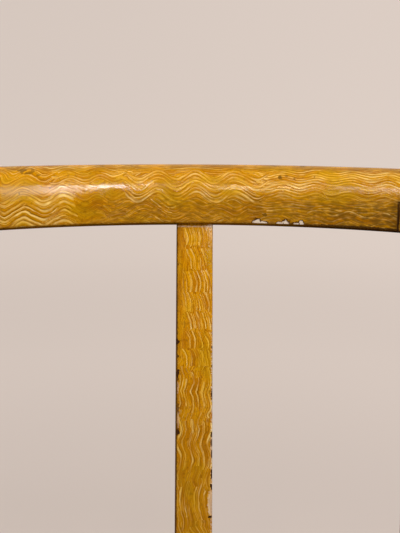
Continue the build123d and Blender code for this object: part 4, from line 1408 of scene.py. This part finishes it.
class CHAIR_OT_hidden_pieces(bpy.types.Operator):
    """Finish the seat rails and the straw inside the rush"""
    bl_idname = "chair.hidden_pieces"
    bl_label = "Rails and Stuffing"

    def execute(self, context):
        rails = [f"seat_rail_{side}" for side in ("front", "back", "left", "right")]
        dress(rails, wood_material("bare wood", (0.42, 0.26, 0.13), (0.25, 0.14, 0.06)))
        straw = wood_material("stuffing straw", (0.55, 0.42, 0.20), (0.28, 0.2, 0.09), 250.0)
        dress(["seat_stuffing"], straw)
        return {"FINISHED"}


# ------------------------------------------------------------------ stage
CAMERA_PLACE = Vector((0.0017, -0.5078, 0.8989))
CAMERA_PITCH = radians(10.834)
CAMERA_YAW = radians(0.247)
CAMERA_ROLL = radians(0.281)
FLOOR_RADIUS = 7.0
WALL_HEIGHT = 6.0
COVE = 2.5
FLOOR_SIDES = 96
LIT_POINT = Vector((0.0, 0.20, 0.83))
WARM_LIGHT = (1.0, 0.82, 0.50)


def backdrop_material(settings):
    """Matt paper with a little light of its own, so that it stays pale far from the lamps."""
    material, w, shader = new_material("backdrop")
    mottle = w.noise(w.place(), scale=3.0, detail=3.0)
    away = w.value("ShaderNodeVectorMath", {0: w.place()}, "Value", operation="LENGTH")
    x = w.parts(w.place())[0]
    glow = w.step(away, 0.8, 2.6, 0.62, 0.85) + w.step(away, 2.3, 6.0, 0.0, 0.18)
    w.wire(shader, {
        "Base Color": w.blend(mottle * 0.1, settings.backdrop, settings.backdrop_shade),
        "Roughness": 1.0,
        "Specular IOR Level": 0.0,
        "Emission Color": settings.backdrop_glow,
        "Emission Strength": glow + w.step(x, -2.0, 2.0, -0.036, 0.036),
    })
    return material


def bowl_backdrop(shape):
    """A round pale floor that curves up into a wall all round."""
    bend = FLOOR_RADIUS - COVE
    diagonal = COVE * sin(pi / 4)
    profile = [(0.5, 0.0), (2.0, 0.0), (bend, 0.0)]
    profile += arc_points((bend, 0.0), (bend + diagonal, COVE - diagonal), (FLOOR_RADIUS, COVE), 16)
    profile.append((FLOOR_RADIUS, WALL_HEIGHT))
    rows = [[shape.verts.new((x, y, z)) for x, y in circle(radius, FLOOR_SIDES)] for radius, z in profile]
    shape.faces.new(rows[0])
    for inner, outer in zip(rows, rows[1:]):
        for j in range(FLOOR_SIDES):
            k = (j + 1) % FLOOR_SIDES
            shape.faces.new((inner[j], inner[k], outer[k], outer[j]))


def studio_world(settings):
    """A room that is pale behind and above the chair and dark behind the camera and below."""
    world = bpy.data.worlds.new("studio")
    world.use_nodes = True
    w = Wires(world.node_tree)
    _, y, z = w.parts(w.place("Generated"))
    share = w.step(z * 0.35 + y * 0.75, 0.34, 0.78) * w.step(z, -0.1, 0.15)
    room = w.blend(share, settings.room_dark, settings.room_pale)
    w.wire(world.node_tree.nodes["Background"], {"Color": room, "Strength": settings.room_light})
    return world


def soft_light(name, azimuth, rise, distance, size, power, mirrored=True, warm=False):
    """A square soft light aimed at the crest rail, placed by its angles round from the front and up."""
    turn, tilt = radians(azimuth), radians(rise)
    place = LIT_POINT + distance * Vector((sin(turn) * cos(tilt), -cos(turn) * cos(tilt), sin(tilt)))
    data = bpy.data.lights.new(name, "AREA")
    data.shape = "RECTANGLE"
    data.size, data.size_y = size
    data.energy = power
    if warm:
        data.color = WARM_LIGHT
    lamp = add_object(name, data)
    lamp.location = place
    lamp.rotation_euler = (LIT_POINT - place).to_track_quat("-Z", "Y").to_euler()
    lamp.visible_glossy = mirrored
    lamp.visible_camera = False
    return lamp


def keep_off(lamp, piece):
    """Keep a lamp's light off one piece."""
    shaded = bpy.data.collections.new(f"{lamp.name} keeps off")
    shaded.objects.link(piece)
    shaded.collection_objects[0].light_linking.link_state = "EXCLUDE"
    lamp.light_linking.receiver_collection = shaded


def add_camera(lens):
    data = bpy.data.cameras.new("camera")
    data.lens = lens
    data.sensor_width = 36.0
    data.clip_start = 0.01
    data.clip_end = 50.0
    camera = add_object("camera", data)
    turn = Matrix.Rotation(-CAMERA_YAW, 4, "Z") @ Matrix.Rotation(pi / 2 - CAMERA_PITCH, 4, "X")
    camera.matrix_world = Matrix.Translation(CAMERA_PLACE) @ turn @ Matrix.Rotation(CAMERA_ROLL, 4, "Z")
    return camera


class CHAIR_OT_stage(bpy.types.Operator):
    """Set up the pale floor, the soft light and the camera"""
    bl_idname = "chair.stage"
    bl_label = "Stage"

    def execute(self, context):
        settings = context.scene.chair_stage
        floor = new_piece("floor", bowl_backdrop)
        floor.data.shade_smooth()
        floor.data.materials.append(backdrop_material(settings))
        if floor.data.polygons[0].normal.z < 0:
            floor.data.flip_normals()
        floor.visible_glossy = False
        floor.visible_diffuse = False
        context.scene.world = studio_world(settings)
        glint = settings.glint_power
        soft_light("top", 0, 62, 1.9, (1.5, 1.2), settings.top_power, mirrored=False)
        soft_light("side", 62, 15, 2.0, (0.8, 0.8), settings.side_power, mirrored=False)
        soft_light("key", 18.5, 36, 2.1, (0.22, 0.20), settings.key_power)
        soft_light("near", 27.5, 31, 2.2, (0.34, 0.80), settings.near_power)
        soft_light("broad", 40, 33, 2.2, (0.60, 0.90), settings.broad_power)
        soft_light("strip", -41.5, 40, 2.2, (0.66, 0.28), settings.strip_power)
        soft_light("glint 1", -8.6, 34, 2.1, (0.10, 0.34), glint, warm=True)
        soft_light("glint 2", -20.6, 34, 2.1, (0.10, 0.30), 0.7 * glint, warm=True)
        soft_light("tail", 10.5, 41, 2.1, (0.30, 0.14), 0.13 * glint)
        back = soft_light("back", 160, 25, 2.4, (1.2, 1.0), settings.back_power, mirrored=False)
        bounce = soft_light("bounce", -10, -20, 1.6, (1.4, 0.5), settings.bounce_power, mirrored=False)
        keep_off(back, floor)
        keep_off(bounce, floor)
        context.scene.camera = add_camera(settings.lens)
        context.scene.view_settings.view_transform = "Standard"
        return {"FINISHED"}


# ------------------------------------------------------------------ panel and start
PIECE_OPERATORS = (
    CHAIR_OT_crest_rail,
    CHAIR_OT_back_slat,
    CHAIR_OT_rear_posts,
    CHAIR_OT_stay_rail,
    CHAIR_OT_front_legs,
    CHAIR_OT_rungs,
    CHAIR_OT_rush_seat,
    CHAIR_OT_pegs,
    CHAIR_OT_hidden_pieces,
    CHAIR_OT_stage,
)


class CHAIR_PT_sidebar(bpy.types.Panel):
    """Buttons that build the chair piece by piece"""
    bl_label = "Painted Side Chair"
    bl_idname = "CHAIR_PT_sidebar"
    bl_space_type = "VIEW_3D"
    bl_region_type = "UI"
    bl_category = "Chair"

    def draw(self, context):
        for operator in PIECE_OPERATORS:
            self.layout.operator(operator.bl_idname)


SETTINGS = {"comb_paint": CombPaint, "rush_seat": RushSeat, "chair_stage": ChairStage}
CLASSES = (*SETTINGS.values(), *PIECE_OPERATORS, CHAIR_PT_sidebar)


def register():
    for item in CLASSES:
        bpy.utils.register_class(item)
    for name, group in SETTINGS.items():
        setattr(bpy.types.Scene, name, bpy.props.PointerProperty(type=group))


def unregister():
    for name in SETTINGS:
        delattr(bpy.types.Scene, name)
    for item in reversed(CLASSES):
        bpy.utils.unregister_class(item)


def main():
    register()
    for operator in PIECE_OPERATORS:
        group, call = operator.bl_idname.split(".")
        getattr(getattr(bpy.ops, group), call)()


if __name__ == "__main__":
    main()
